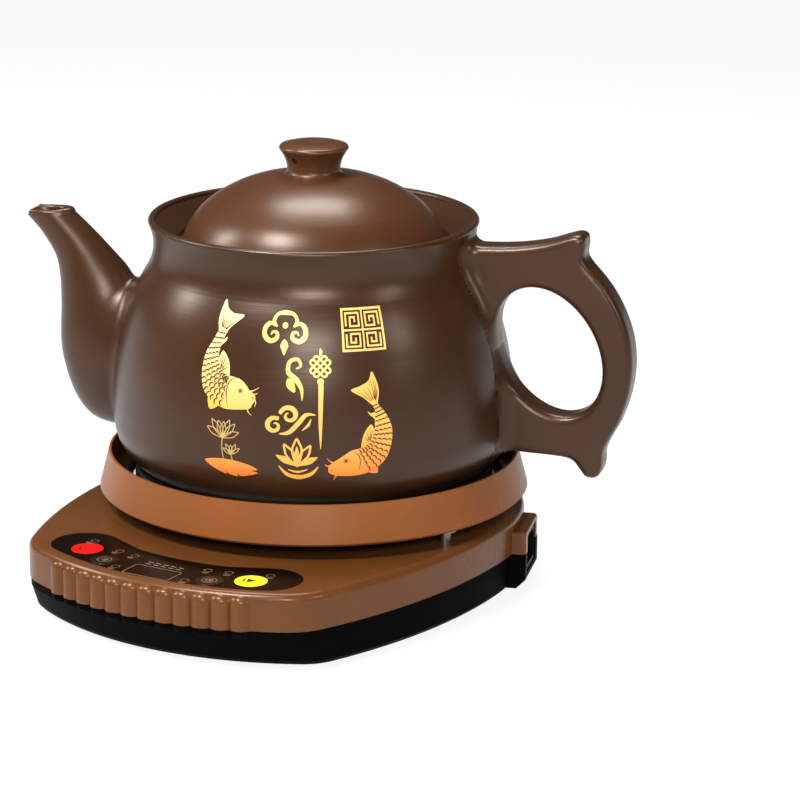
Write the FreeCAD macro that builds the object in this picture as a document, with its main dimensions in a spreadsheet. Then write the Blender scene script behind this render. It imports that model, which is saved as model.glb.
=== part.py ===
import FreeCAD
import Part
import Sketcher
import math
import os

from FreeCAD import Placement, Rotation, Vector

# Electric herbal medicine pot: a stoneware pot with a spout, a handle and a loose lid, which stands on a
# heater ring above a moulded base with a control panel. Millimetres. The origin is the centre of the
# resting plane, below the heater's axis; +Z is up and the control panel faces -Y.

SIZES = {
    # base outline: arcs about the heater axis at front and rear, joined by flatter sides
    "front_arc": 168.3,
    "rear_arc": 113.5,
    "side_arc": 300,
    "corner_arc": 32,
    "side_angle": 5,
    "bottom_front_arc": 161,
    "bottom_rear_arc": 112,
    "bottom_side_arc": 296,
    "bottom_corner_arc": 27,
    # base levels
    "foot_drop": 2,
    "band_level": 17.5,
    "parting_level": 22,
    "deck_level": 41.5,
    "parting_step": 0.6,
    # base walls
    "cover_wall": 2.5,
    "deck_thick": 2.8,
    "housing_wall": 2.5,
    "floor_thick": 2.5,
    "shoulder_round": 4,
    "bottom_bevel": 2.5,
    # grip ribs along the front
    "rib_count": 12,
    "rib_pitch": 3.5,
    "rib_round": 6.5,
    "rib_depth": 2.5,
    "rib_drop": 1.6,
    "rib_top_round": 4.5,
    "rib_foot_round": 2,
    # control panel
    "panel_margin": 5.8,
    "panel_deep": 33,
    "lobe_round": 18,
    "lobe_angle": 22.7,
    "lobe_end_angle": 115,
    "inner_end_angle": 12,
    "recess_deep": 1.2,
    "overlay_thick": 1,
    "overlay_gap": 0.15,
    "main_key_round": 8.3,
    "side_key_round": 7.5,
    "main_key_inset": 14,
    "side_key_inset": 8.9,
    "main_key_angle": 19.7,
    "key_pitch": 7.7,
    "key_gap": 0.2,
    "key_proud": 0.3,
    "key_flange": 1.2,
    "key_flange_thick": 1.1,
    "key_flange_gap": 0.3,
    "key_stem_round": 2,
    "key_stem_long": 1,
    "switch_gap": 0.6,
    "switch_side": 6,
    "switch_body": 3,
    "plunger_round": 1.7,
    "plunger_high": 0.6,
    "display_wide": 25,
    "display_deep": 12,
    "display_inset": 8.2,
    "display_gap": 0.3,
    "lamp_round": 1.5,
    "lamp_gap": 0.2,
    "lamp_rise": 9.1,
    "lamp_lead": 3.2,
    "lamp_angle_2": 14,
    "lamp_angle_3": 9.3,
    "lamp_front_inset": 5.2,
    "lamp_front_lead": 4.3,
    "board_thick": 1.6,
    "board_inset": 2.5,
    "board_post_round": 3,
    "board_post_rise": 4,
    "board_post_angle": 24.5,
    # power inlet on the right flank
    "inlet_angle": 19,
    "inlet_face": 119.4,
    "inlet_block_wide": 38,
    "inlet_block_top": 34.2,
    "inlet_block_foot": 3,
    "inlet_block_round": 2,
    "inlet_chamfer": 5,
    "socket_wide": 26.6,
    "socket_low": 10.5,
    "socket_high": 31.5,
    "socket_back": 96,
    "socket_setback": 0.8,
    "socket_gap": 0.15,
    "socket_mouth_wide": 23,
    "socket_mouth_high": 15.8,
    "socket_mouth_deep": 16.5,
    "socket_mouth_corner": 4,
    "pin_wide": 4,
    "pin_thick": 2,
    "pin_spread": 7,
    "pin_rise": 2,
    "pin_reach": 13.5,
    "pin_tab": 7,
    # feet and screws
    "foot_round": 8,
    "foot_peg_round": 2.5,
    "foot_front_x": 58,
    "foot_front_y": 128,
    "foot_rear_x": 72,
    "foot_rear_y": 52,
    "fit_gap": 0.1,
    "screw_front_x": 80,
    "screw_front_y": 98,
    "screw_rear_x": 58,
    "screw_rear_y": 72,
    "screw_round": 1.5,
    "screw_head_round": 3.2,
    "screw_head_high": 2.2,
    "screw_sink": 2.4,
    "screw_bite": 11,
    "screw_tip_gap": 1,
    "housing_boss_round": 5.5,
    "cover_boss_round": 4.5,
    # floor slots
    "slot_long": 44,
    "slot_wide": 3,
    "slot_pitch": 8,
    "slot_count": 6,
    "slot_start_y": 58,
    # power board
    "power_board_left": 24,
    "power_board_right": 76,
    "power_board_front": 22,
    "power_board_rear": 46,
    "power_board_level": 10,
    "power_post_round": 3.5,
    "power_post_inset": 6,
    "board_margin": 1,
    "mains_terminal_deep": 8,
    "mains_terminal_long": 24,
    "mains_terminal_high": 10,
    "core_left": 21,
    "core_front": 16,
    "core_wide": 24,
    "core_deep": 20,
    "core_high": 19,
    "coil_proud": 3.5,
    "coil_inset": 3,
    "relay_left": 38,
    "relay_front": 17,
    "relay_wide": 19,
    "relay_deep": 15.5,
    "relay_high": 15.5,
    "buzzer_x": 56,
    "buzzer_y": 12,
    "buzzer_round": 6,
    "buzzer_high": 7,
    "sound_hole": 1,
    "sound_hole_deep": 2,
    # heater
    "post_reach": 105.5,
    "post_round": 3.2,
    "post_nut_round": 5.8,
    "post_nut_high": 1.8,
    "stud_round": 2,
    "stud_reach": 3,
    "ring_floor": 49,
    "ring_top": 70,
    "ring_top_round": 110,
    "ring_foot_round": 115,
    "ring_sheet": 1.2,
    "ring_fold": 1.4,
    "ring_flange_inner": 97,
    "pan_sheet": 0.8,
    "pan_round": 102.5,
    "pan_rim_high": 6,
    "insulation_thick": 1.2,
    "insulation_round": 98,
    "element_round": 3,
    "element_ring": 60,
    "element_bend": 8,
    "element_side": 8,
    "element_end": 26,
    "element_gap": 0.1,
    "plate_round": 96,
    "plate_rim": 4,
    "plate_thick": 6.5,
    "plate_hub": 3,
    "plate_edge_round": 1.5,
    "fuse_round": 1.4,
    "fuse_long": 12,
    "fuse_reach": 38,
    # cable column, heater leads and temperature sensor
    "column_outer": 33.5,
    "column_inner": 31,
    "lead_round": 1.6,
    "lead_drop_x": 19.5,
    "lead_hole_gap": 1,
    "terminal_high": 9,
    "terminal_deep": 10,
    "terminal_long": 26,
    "guide_bore": 15,
    "guide_wall": 1.5,
    "guide_low": 42.5,
    "guide_floor": 1.5,
    "guide_eye": 9,
    "sensor_gap": 0.3,
    "sensor_skirt": 12,
    "sensor_sheet": 1,
    "spring_round": 11,
    "spring_wire": 0.7,
    "spring_turns": 3,
    # pot: radii and levels of its outside, and its wall
    "pot_turn": 14.5,
    "seat_gap": 0.3,
    "pot_foot_round": 90,
    "belly_round": 107,
    "belly_level": 91,
    "belly_tuck": 3.6,
    "belly_tuck_drop": 16,
    "shoulder_crown": 1.6,
    "shoulder_crown_rise": 2,
    "neck_crown": 1,
    "shoulder_radius": 100.3,
    "shoulder_level": 140.5,
    "neck_foot_round": 88.6,
    "neck_foot_level": 169,
    "neck_round": 85.1,
    "neck_level": 179,
    "lip_round": 87.6,
    "lip_level": 194,
    "lip_crest": 196.2,
    "lip_thick": 4,
    "pot_wall": 6.4,
    "pot_floor": 7,
    "ledge_level": 182,
    "ledge_thick": 6,
    "ledge_outer": 71.8,
    "ledge_round": 2,
    "ledge_flare": 1,
    "neck_inside_run": 7,
    "neck_inside_drop": 3,
    "neck_inside_in": 1.4,
    "floor_tuck": 3,
    "floor_tuck_drop": 14,
    "throat_round": 63,
    "strainer_hole": 3.5,
    "strainer_pitch": 13,
    "strainer_level": 112,
    # spout
    "spout_wall": 5.5,
    "mouth_wall": 3.5,
    "mouth_drop": 3.5,
    # handle
    "handle_thick": 19,
    "handle_edge": 3.4,
    "handle_root_low": 78.5,
    "handle_root_high": 186,
    "handle_reach": 174.2,
    "handle_start": 17,
    "handle_sag": 3.4,
    "handle_rise": 1.6,
    "handle_rise_run": 41,
    "thorn_setback": 15.1,
    "thorn_wide": 8.9,
    "thorn_slope": 8.5,
    "low_notch": 13.7,
    "high_notch": 11.4,
    "high_notch_run": 11.8,
    "high_thorn_run": 11.2,
    "thorn_low": 67.2,
    "thorn_high": 197.8,
    "thorn_round": 4.2,
    "notch_round": 7,
    "loop_setback": 44.1,
    "loop_level": 133.3,
    "loop_long": 36.1,
    "loop_short": 25.6,
    "loop_turn": 120,
    "loop_edge": 1.2,
    # lid
    "lid_gap": 0.3,
    "lid_round": 69,
    "lid_edge": 3,
    "lid_wall": 5.5,
    "lid_spigot_gap": 1,
    "lid_spigot": 4.3,
    "lid_spigot_deep": 7.5,
    "dome_mid_round": 57,
    "dome_mid_level": 203,
    "dome_brim_run": 8,
    "dome_brim_drop": 9,
    "dome_crown_run": 3,
    "dome_crown_rise": 2.4,
    "dome_inside_run": 14,
    "dome_inside_drop": 2,
    "spigot_root": 3,
    "dome_top_level": 218.6,
    "knob_neck": 14,
    "knob_round": 18.4,
    "knob_level": 232.5,
    "knob_top": 236,
    "knob_foot": 3,
    "knob_foot_round": 0.9,
    "knob_waist_run": 1.4,
    "knob_waist_rise": 0.6,
    "knob_edge": 2,
    "knob_edge_rise": 2.2,
    "knob_edge_bulge": 0.5,
    "knob_edge_bulge_drop": 0.7,
    "knob_crown_drop": 0.3,
    "knob_bore": 8,
    "vent_round": 1.75,
    "vent_level": 227.6,
    "vent_angle": -10,
}

doc = FreeCAD.newDocument("herbal_medicine_pot")
sheet = doc.addObject("Spreadsheet::Sheet", "sizes")
for row, (alias, value) in enumerate(SIZES.items(), start=1):
    sheet.set(f"A{row}", alias)
    sheet.set(f"B{row}", str(value))
    sheet.setAlias(f"B{row}", alias)
doc.recompute()


class Term:
    """A size that carries its number and the sheet expression it comes from."""

    def __init__(self, number, text):
        self.number = number
        self.text = text

    def __add__(self, other):
        return joined(self, "+", other, self.number + term(other).number)

    def __sub__(self, other):
        return joined(self, "-", other, self.number - term(other).number)

    def __mul__(self, other):
        return joined(self, "*", other, self.number * term(other).number)

    def __truediv__(self, other):
        return joined(self, "/", other, self.number / term(other).number)

    def __radd__(self, other):
        return term(other) + self

    def __rsub__(self, other):
        return term(other) - self

    def __rmul__(self, other):
        return term(other) * self

    def __neg__(self):
        return Term(-self.number, f"(0 - {self.text})")


def term(value):
    """A plain number or a Term, as a Term."""
    return value if isinstance(value, Term) else Term(value, f"({value})")


def joined(left, sign, right, number):
    return Term(number, f"({term(left).text} {sign} {term(right).text})")


def size(alias):
    return Term(float(SIZES[alias]), f"sizes.{alias}")


def cos(angle):
    return Term(math.cos(math.radians(term(angle).number)), f"cos({term(angle).text} * 1 deg)")


def sin(angle):
    return Term(math.sin(math.radians(term(angle).number)), f"sin({term(angle).text} * 1 deg)")


def polar(reach, angle):
    """The place at this distance from the axis, this many degrees right of straight ahead (-Y)."""
    return reach * sin(angle), -(reach * cos(angle))


def bind(thing, name, value):
    thing.setExpression(name, term(value).text)


# ---------------------------------------------------------------- bodies and sketches


def new_body(label, x=0, y=0, z=0, turn=0):
    """A body that is one sub-part, placed in the frame of the whole object."""
    body = doc.addObject("PartDesign::Body", label)
    body.Label = label
    place(body, x, y, z, turn)
    return body


def place(thing, x=0, y=0, z=0, turn=0):
    thing.Placement = Placement(
        Vector(term(x).number, term(y).number, term(z).number), Rotation(Vector(0, 0, 1), term(turn).number)
    )
    bind(thing, "Placement.Base.x", x)
    bind(thing, "Placement.Base.y", y)
    bind(thing, "Placement.Base.z", z)
    if term(turn).number:
        bind(thing, "Placement.Rotation.Angle", turn)


def origin_feature(body, role):
    return next(feature for feature in body.Origin.OriginFeatures if feature.Role == role)


def new_sketch(body, name, plane="XY_Plane", lift=0, turn=0):
    """A sketch on one of the body's own planes. On the XY plane lift raises it and turn turns it about Z.
    On the upright planes turn turns it about Z as well."""
    sketch = body.newObject("Sketcher::SketchObject", name)
    sketch.AttachmentSupport = (origin_feature(body, plane), "")
    sketch.MapMode = "FlatFace"
    axis = Vector(0, 0, 1) if plane == "XY_Plane" else Vector(0, 1, 0)
    sketch.AttachmentOffset = Placement(Vector(0, 0, term(lift).number), Rotation(axis, term(turn).number))
    bind(sketch, "AttachmentOffset.Base.z", lift)
    if term(turn).number:
        bind(sketch, "AttachmentOffset.Rotation.Angle", turn)
    return sketch


def vector(point):
    return Vector(term(point[0]).number, term(point[1]).number, 0)


def fix(sketch, kind, elements, value):
    """A dimension bound to the sheet."""
    index = sketch.addConstraint(Sketcher.Constraint(kind, *elements, term(value).number))
    if isinstance(value, Term):
        sketch.setExpression(f"Constraints[{index}]", value.text)


def fix_point(sketch, element, position, point):
    fix(sketch, "DistanceX", (-1, 1, element, position), point[0])
    fix(sketch, "DistanceY", (-1, 1, element, position), point[1])


def add_loop(sketch, stops):
    """A closed loop of corners (x, y). A stop with a third entry is reached by an arc through that point."""
    ends = []
    for index, stop in enumerate(stops):
        start = vector(stops[index - 1])
        if len(stop) == 2:
            element = sketch.addGeometry(Part.LineSegment(start, vector(stop)), False)
            ends.append((element, 1, 2))
            continue
        element = sketch.addGeometry(Part.Arc(start, vector(stop[2]), vector(stop)), False)
        forward = sketch.getPoint(element, 1).distanceToPoint(start) < 1e-6
        ends.append((element, 1, 2) if forward else (element, 2, 1))
        middle = sketch.addGeometry(Part.Point(vector(stop[2])), True)
        fix_point(sketch, middle, 1, stop[2])
        sketch.addConstraint(Sketcher.Constraint("PointOnObject", middle, 1, element))
    for index, stop in enumerate(stops):
        element, _, last = ends[index]
        following, first, _ = ends[(index + 1) % len(stops)]
        sketch.addConstraint(Sketcher.Constraint("Coincident", element, last, following, first))
        fix_point(sketch, element, last, stop)


def add_circle(sketch, x, y, radius):
    circle = sketch.addGeometry(Part.Circle(vector((x, y)), Vector(0, 0, 1), term(radius).number), False)
    fix_point(sketch, circle, 3, (x, y))
    fix(sketch, "Radius", (circle,), radius)


def add_ellipse(sketch, x, y, long_half, short_half, turn):
    """An ellipse whose long axis is turned by this many degrees from the sketch's X axis."""
    along_x, along_y = long_half * cos(turn), long_half * sin(turn)
    across_x, across_y = -(short_half * sin(turn)), short_half * cos(turn)
    long_end = vector((x + along_x, y + along_y))
    short_end = vector((x + across_x, y + across_y))
    ellipse = sketch.addGeometry(Part.Ellipse(long_end, short_end, vector((x, y))), False)
    sketch.exposeInternalGeometry(ellipse)
    long_axis, short_axis = ellipse + 1, ellipse + 2
    fix_point(sketch, ellipse, 3, (x, y))
    fix_point(sketch, long_axis, 1, (x + along_x, y + along_y))
    fix(sketch, "Distance", (short_axis,), 2 * short_half)


def box_loop(left, front, right, rear):
    return [(right, front), (right, rear), (left, rear), (left, front)]


# ---------------------------------------------------------------- features


def pad(body, sketch, length, name="Pad", middle=False, back=False):
    feature = body.newObject("PartDesign::Pad", name)
    feature.Profile = sketch
    bind(feature, "Length", length)
    feature.Midplane = middle
    feature.Reversed = back
    return feature


def pocket(body, sketch, length, name="Pocket", back=False):
    """Cuts against the sketch's normal, or along it with back. It has to take something away."""
    before = volume_of(body)
    feature = body.newObject("PartDesign::Pocket", name)
    feature.Profile = sketch
    bind(feature, "Length", length)
    feature.Reversed = back
    demand_less(body, before, name)
    return feature


def turned(body, sketch, name="Revolution", axis="V_Axis"):
    feature = body.newObject("PartDesign::Revolution", name)
    feature.Profile = sketch
    feature.ReferenceAxis = (sketch, [axis])
    feature.Angle = 360
    return feature


def groove(body, sketch, name="Groove"):
    before = volume_of(body)
    feature = body.newObject("PartDesign::Groove", name)
    feature.Profile = sketch
    feature.ReferenceAxis = (sketch, ["V_Axis"])
    feature.Angle = 360
    demand_less(body, before, name)
    return feature


def rounded(body, radius, test, name="Fillet"):
    """A fillet on the edges of the body's tip that pass the test."""
    doc.recompute()
    tip = body.Tip
    names = [f"Edge{n}" for n, edge in enumerate(tip.Shape.Edges, start=1) if test(edge)]
    feature = body.newObject("PartDesign::Fillet", name)
    feature.Base = (tip, names)
    bind(feature, "Radius", radius)
    doc.recompute()
    return feature


def chamfered(body, length, test, name="Chamfer"):
    """A chamfer on the edges of the body's tip that pass the test."""
    doc.recompute()
    tip = body.Tip
    names = [f"Edge{n}" for n, edge in enumerate(tip.Shape.Edges, start=1) if test(edge)]
    feature = body.newObject("PartDesign::Chamfer", name)
    feature.Base = (tip, names)
    bind(feature, "Size", length)
    doc.recompute()
    return feature


def volume_of(body):
    doc.recompute()
    return body.Shape.Volume


def demand_less(body, before, name):
    doc.recompute()
    if not body.Shape.Volume < before - 1e-3:
        raise RuntimeError(f"{name} of {body.Label} cuts nothing")


def at_level(edge, level, tolerance=1e-4):
    low, high = edge.BoundBox.ZMin, edge.BoundBox.ZMax
    return abs(low - term(level).number) < tolerance and abs(high - term(level).number) < tolerance


def disc(body, radius, low, high, x=0, y=0, name="Disc"):
    sketch = new_sketch(body, f"{name}Sketch", lift=low)
    add_circle(sketch, x, y, radius)
    return pad(body, sketch, term(high) - low, name)


def block(body, left, front, right, rear, low, high, name="Block", turn=0):
    sketch = new_sketch(body, f"{name}Sketch", lift=low, turn=turn)
    add_loop(sketch, box_loop(left, front, right, rear))
    return pad(body, sketch, term(high) - low, name)


def bores(body, places, radius, low, high, name="Bores"):
    """Round holes from low up to high, at the places (x, y)."""
    sketch = new_sketch(body, f"{name}Sketch", lift=low)
    for x, y in places:
        add_circle(sketch, x, y, radius)
    return pocket(body, sketch, term(high) - low, name, back=True)


def lathe(label, stops, turn=0):
    """A piece turned about the axis, from the outline of its half section (radius, level)."""
    body = new_body(label, turn=turn)
    sketch = new_sketch(body, "Section", "XZ_Plane")
    add_loop(sketch, stops)
    turned(body, sketch)
    return body


# ---------------------------------------------------------------- outlines shared by mating pieces


def base_loop(sketch, front, side, corner, rear, inset=0):
    """The base outline: a front arc and a rear arc about the heater axis. On each side a flatter arc and
    a corner arc join them, all tangent. inset moves the whole outline inwards."""
    reach = side.number - rear.number
    angle = math.radians(SIZES["side_angle"])
    side_x, side_y = -reach * math.cos(angle), -reach * math.sin(angle)
    near, far = front.number - corner.number, side.number - corner.number
    between = math.hypot(side_x, side_y)
    along = (near**2 - far**2 + between**2) / (2 * between)
    across = math.sqrt(near**2 - along**2)
    corner_x = (side_x * along + side_y * across) / between
    corner_y = (side_y * along - side_x * across) / between
    if corner_y > 0:
        corner_x = (side_x * along - side_y * across) / between
        corner_y = (side_y * along + side_x * across) / between
    corner_turn = math.atan2(corner_y, corner_x)
    side_turn = math.atan2(corner_y - side_y, corner_x - side_x)
    half = math.pi
    arcs = [
        (0, 0, front, -half - corner_turn, corner_turn),
        (corner_x, corner_y, corner, corner_turn, side_turn),
        (side_x, side_y, side, side_turn, angle),
        (0, 0, rear, angle, half - angle),
        (-side_x, side_y, side, half - angle, half - side_turn),
        (-corner_x, corner_y, corner, half - side_turn, half - corner_turn),
    ]
    drawn = []
    for x, y, radius, start, end in arcs:
        circle = Part.Circle(Vector(x, y, 0), Vector(0, 0, 1), (radius - inset).number)
        drawn.append(sketch.addGeometry(Part.ArcOfCircle(circle, start, end), False))
    for index, arc in enumerate(drawn):
        sketch.addConstraint(Sketcher.Constraint("Tangent", arc, 2, drawn[(index + 1) % len(drawn)], 1))
        fix(sketch, "Radius", (arc,), arcs[index][2] - inset)
    for arc in (drawn[0], drawn[3]):
        sketch.addConstraint(Sketcher.Constraint("Coincident", arc, 3, -1, 1))
    for position in (1, 2):
        fix(sketch, "DistanceY", (-1, 1, drawn[3], position), (rear - inset) * sin(size("side_angle")))


def upper_outline(body, name, lift, inset=0):
    sketch = new_sketch(body, name, lift=lift)
    base_loop(sketch, size("front_arc"), size("side_arc"), size("corner_arc"), size("rear_arc"), inset)
    return sketch


def lower_outline(body, name, lift, inset=0):
    sketch = new_sketch(body, name, lift=lift)
    arcs = [size(f"bottom_{arc}") for arc in ("front_arc", "side_arc", "corner_arc", "rear_arc")]
    base_loop(sketch, *arcs, inset)
    return sketch


def add_ribs(body, section, inset=0):
    """Repeats one grip rib along the front. Its half section gives (distance from its own axis, level)."""
    reach = size("front_arc") + size("rib_depth") - size("rib_round")
    first = -(size("rib_count") - 1) * size("rib_pitch") / 2
    sketch = new_sketch(body, "RibSection", "YZ_Plane", turn=first)
    levels = [stop[1] for stop in section]
    add_loop(sketch, [rib_stop(stop, reach) for stop in section])
    low_end, high_end = (-reach, min(levels, key=number)), (-reach, max(levels, key=number))
    axis = sketch.addGeometry(Part.LineSegment(vector(low_end), vector(high_end)), True)
    fix_point(sketch, axis, 1, low_end)
    fix_point(sketch, axis, 2, high_end)
    rib = turned(body, sketch, "Rib", "Axis0")
    ribs = body.newObject("PartDesign::PolarPattern", "Ribs")
    ribs.Originals = [rib]
    ribs.Axis = (origin_feature(body, "Z_Axis"), [""])
    bind(ribs, "Angle", (size("rib_count") - 1) * size("rib_pitch"))
    bind(ribs, "Occurrences", size("rib_count"))
    body.Tip = ribs
    doc.recompute()


def number(value):
    return term(value).number


def rib_stop(stop, reach):
    """A stop of the rib's section, moved out to the rib's own axis."""
    moved = (-reach - stop[0], stop[1])
    return moved if len(stop) == 2 else (*moved, (-reach - stop[2][0], stop[2][1]))


def quarter(center_x, center_y, radius, angle):
    """The point of a round at this angle, in degrees, as a middle stop for an arc."""
    return center_x + radius * cos(angle), center_y + radius * sin(angle)


def panel_loop(sketch, inset=0):
    """The crescent of the control panel: two arcs about the heater axis and a round lobe at each end."""
    lobe_angle = size("lobe_angle")
    lobe_x, lobe_y = polar(panel_outer - size("lobe_round"), lobe_angle)
    lobe = size("lobe_round") - inset
    outer_x, outer_y = polar(panel_outer - inset, lobe_angle)
    end_angle = size("lobe_end_angle")
    middle_angle = (end_angle + lobe_angle - 90) / 2
    middle_x, middle_y = quarter(lobe_x, lobe_y, lobe, middle_angle)
    end_x, end_y = quarter(lobe_x, lobe_y, lobe, end_angle)
    inner = panel_inner + inset
    inner_x, inner_y = polar(inner, size("inner_end_angle"))
    add_loop(
        sketch,
        [
            (outer_x, outer_y, (0, inset - panel_outer)),
            (end_x, end_y, (middle_x, middle_y)),
            (inner_x, inner_y),
            (-inner_x, inner_y, (0, -inner)),
            (-end_x, end_y),
            (-outer_x, outer_y, (-middle_x, middle_y)),
        ],
    )


def panel_outline(body, name, lift, inset=0):
    sketch = new_sketch(body, name, lift=lift)
    panel_loop(sketch, inset)
    return sketch


# ---------------------------------------------------------------- levels and places that several pieces share

panel_outer = size("front_arc") - size("panel_margin")
panel_inner = panel_outer - size("panel_deep")
deck_under = size("deck_level") - size("deck_thick")
recess_floor = size("deck_level") - size("recess_deep")
overlay_top = recess_floor + size("overlay_thick")
key_flange_top = deck_under - size("key_flange_gap")
key_flange_low = key_flange_top - size("key_flange_thick")
key_stem_low = key_flange_low - size("key_stem_long")
board_top = key_stem_low - size("switch_gap") - size("plunger_high") - size("switch_body")
board_low = board_top - size("board_thick")
floor_top = size("foot_drop") + size("floor_thick")
screw_top = size("parting_level") + size("screw_bite")
power_board_top = size("power_board_level") + size("board_thick")
socket_middle = (size("socket_low") + size("socket_high")) / 2
pan_low = size("ring_floor") + size("ring_sheet")
pan_top = pan_low + size("pan_sheet")
insulation_top = pan_top + size("insulation_thick")
element_level = insulation_top + size("element_gap") + size("element_round")
plate_top = element_level + size("plate_thick")
pot_seat = plate_top + size("seat_gap")
sensor_top = plate_top

main_angle = size("main_key_angle")
side_angle = main_angle - size("key_pitch")
main_reach = panel_outer - size("main_key_inset")
side_reach = panel_outer - size("side_key_inset")
display_reach = panel_outer - size("display_inset")
KEYS = {
    "key_stop": (-main_angle, main_reach, size("main_key_round")),
    "key_function": (-side_angle, side_reach, size("side_key_round")),
    "key_timer": (side_angle, side_reach, size("side_key_round")),
    "key_start": (main_angle, main_reach, size("main_key_round")),
}

lamp_angles = [main_angle + size("lamp_lead"), size("lamp_angle_2"), size("lamp_angle_3")]
lamp_reach = panel_inner + size("lamp_rise")
LAMPS = [polar(lamp_reach, -angle) for angle in lamp_angles]
LAMPS += [polar(lamp_reach, angle) for angle in reversed(lamp_angles)]
front_angle = side_angle - size("lamp_front_lead")
LAMPS += [polar(panel_outer - size("lamp_front_inset"), side * front_angle) for side in (-1, 1)]

board_post_reach = panel_inner + size("board_post_rise")
BOARD_POSTS = [polar(board_post_reach, side * size("board_post_angle")) for side in (-1, 1)]

SCREWS = [(side * size("screw_front_x"), -size("screw_front_y")) for side in (-1, 1)]
SCREWS += [(side * size("screw_rear_x"), size("screw_rear_y")) for side in (-1, 1)]

FEET = [(side * size("foot_front_x"), -size("foot_front_y")) for side in (-1, 1)]
FEET += [(side * size("foot_rear_x"), size("foot_rear_y")) for side in (-1, 1)]

POST_TURNS = (72, 192, 312)

power_inset = size("power_post_inset")
POWER_POSTS = [
    (x, y)
    for x in (power_inset - size("power_board_left"), size("power_board_right") - power_inset)
    for y in (power_inset - size("power_board_front"), size("power_board_rear") - power_inset)
]

LEADS = [(size("lead_drop_x"), side * size("element_side")) for side in (-1, 1)]

PINS = [(side * size("pin_spread"), -size("pin_rise")) for side in (-1, 1)]
PINS += [(0, size("pin_rise"))]


# ---------------------------------------------------------------- base cover


def top_cover():
    """The ribbed cover: a moulded shell, open below, with the recess of the panel in its deck."""
    body = new_body("top_cover")
    parting, deck = size("parting_level"), size("deck_level")
    pad(body, upper_outline(body, "Outline", parting), deck - parting, "Shell")
    rounded(body, size("shoulder_round"), lambda edge: at_level(edge, deck), "Shoulder")
    half, face, turn = size("inlet_block_wide") / 2, size("inlet_face"), size("inlet_angle")
    brow_top = size("inlet_block_top")
    block(body, size("socket_back"), -half, face, half, parting, brow_top, "InletBrow", turn=turn)
    rounded(body, size("inlet_block_round"), brow_edge, "BrowRounds")
    top, radius, soft = deck - size("rib_drop"), size("rib_round"), size("rib_top_round")
    middle = quarter(radius - soft, top - soft, soft, 45)
    rib_side = [(0, parting), (radius, parting), (radius, top - soft)]
    add_ribs(body, rib_side + [(radius - soft, top, middle), (0, top)])
    hollow = upper_outline(body, "Hollow", parting, size("cover_wall"))
    pocket(body, hollow, deck_under - parting, "Cavity", back=True)
    wide = size("socket_wide") / 2 + size("socket_gap")
    seat = new_sketch(body, "SocketSeat", lift=parting, turn=size("inlet_angle"))
    add_loop(seat, box_loop(size("socket_back"), -wide, size("inlet_face") + 1, wide))
    pocket(body, seat, size("socket_high") + size("socket_gap") - parting, "SocketOpening", back=True)
    pocket(body, panel_outline(body, "PanelOutline", deck), size("recess_deep"), "PanelRecess")
    openings = new_sketch(body, "DeckOpenings", lift=deck_under)
    for angle, reach, radius in KEYS.values():
        add_circle(openings, *polar(reach, angle), radius + size("key_gap"))
    for x, y in LAMPS:
        add_circle(openings, x, y, size("lamp_round") + size("lamp_gap"))
    window_x = size("display_wide") / 2 + size("display_gap")
    window_y = size("display_deep") / 2 + size("display_gap")
    middle = -display_reach
    add_loop(openings, box_loop(-window_x, middle - window_y, window_x, middle + window_y))
    add_circle(openings, 0, 0, size("column_inner"))
    pocket(body, openings, size("deck_thick"), "DeckCuts", back=True)
    studs = new_sketch(body, "StudHoles", lift=deck_under)
    for turn in POST_TURNS:
        add_circle(studs, *polar(size("post_reach"), turn), size("stud_round") + size("fit_gap"))
    pocket(body, studs, size("deck_thick"), "StudBores", back=True)
    for index, (x, y) in enumerate(SCREWS):
        disc(body, size("cover_boss_round"), parting, deck_under, x, y, f"ScrewBoss{index}")
    for index, (x, y) in enumerate(BOARD_POSTS):
        disc(body, size("board_post_round"), board_top, deck_under, x, y, f"BoardPost{index}")
    screw_end = screw_top + size("screw_tip_gap")
    bores(body, SCREWS, size("screw_round") + size("fit_gap"), parting, screw_end, "ScrewBores")
    return body


def brow_edge(edge):
    """The outer upright edges and the top edges of the inlet brow, beyond the round of the base."""
    middle = edge.CenterOfMass
    outer = math.hypot(middle.x, middle.y) > SIZES["rear_arc"] + 1
    above = middle.z > SIZES["parting_level"] + 1
    return outer and above and abs(math.degrees(math.atan2(middle.y, middle.x)) - SIZES["inlet_angle"]) < 12


def panel_overlay():
    """The gloss plate that lies in the recess of the deck, with a hole for each key."""
    body = new_body("panel_overlay")
    outline = panel_outline(body, "Outline", recess_floor, size("overlay_gap"))
    pad(body, outline, size("overlay_thick"), "Plate")
    holes = new_sketch(body, "KeyHoles", lift=recess_floor)
    for angle, reach, radius in KEYS.values():
        add_circle(holes, *polar(reach, angle), radius + size("key_gap"))
    pocket(body, holes, size("overlay_thick"), "KeyCuts", back=True)
    return body


def key(label, angle, reach, radius):
    """A round key cap with a flange that keeps it under the deck and a stem above its switch."""
    x, y = polar(reach, angle)
    body = new_body(label, x, y)
    top = overlay_top + size("key_proud")
    disc(body, radius + size("key_flange"), key_flange_low, key_flange_top, name="Flange")
    disc(body, radius, key_flange_top, top, name="Cap")
    chamfered(body, size("key_proud") / 2, lambda edge: at_level(edge, top), "CapEdge")
    disc(body, size("key_stem_round"), key_stem_low, key_flange_low, name="Stem")
    return body


def tact_switch(index, angle, reach):
    x, y = polar(reach, angle)
    body = new_body(f"tact_switch_{index}", x, y)
    half = size("switch_side") / 2
    top = board_top + size("switch_body")
    block(body, -half, -half, half, half, board_top, top, "Case")
    disc(body, size("plunger_round"), top, top + size("plunger_high"), name="Plunger")
    return body


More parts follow.
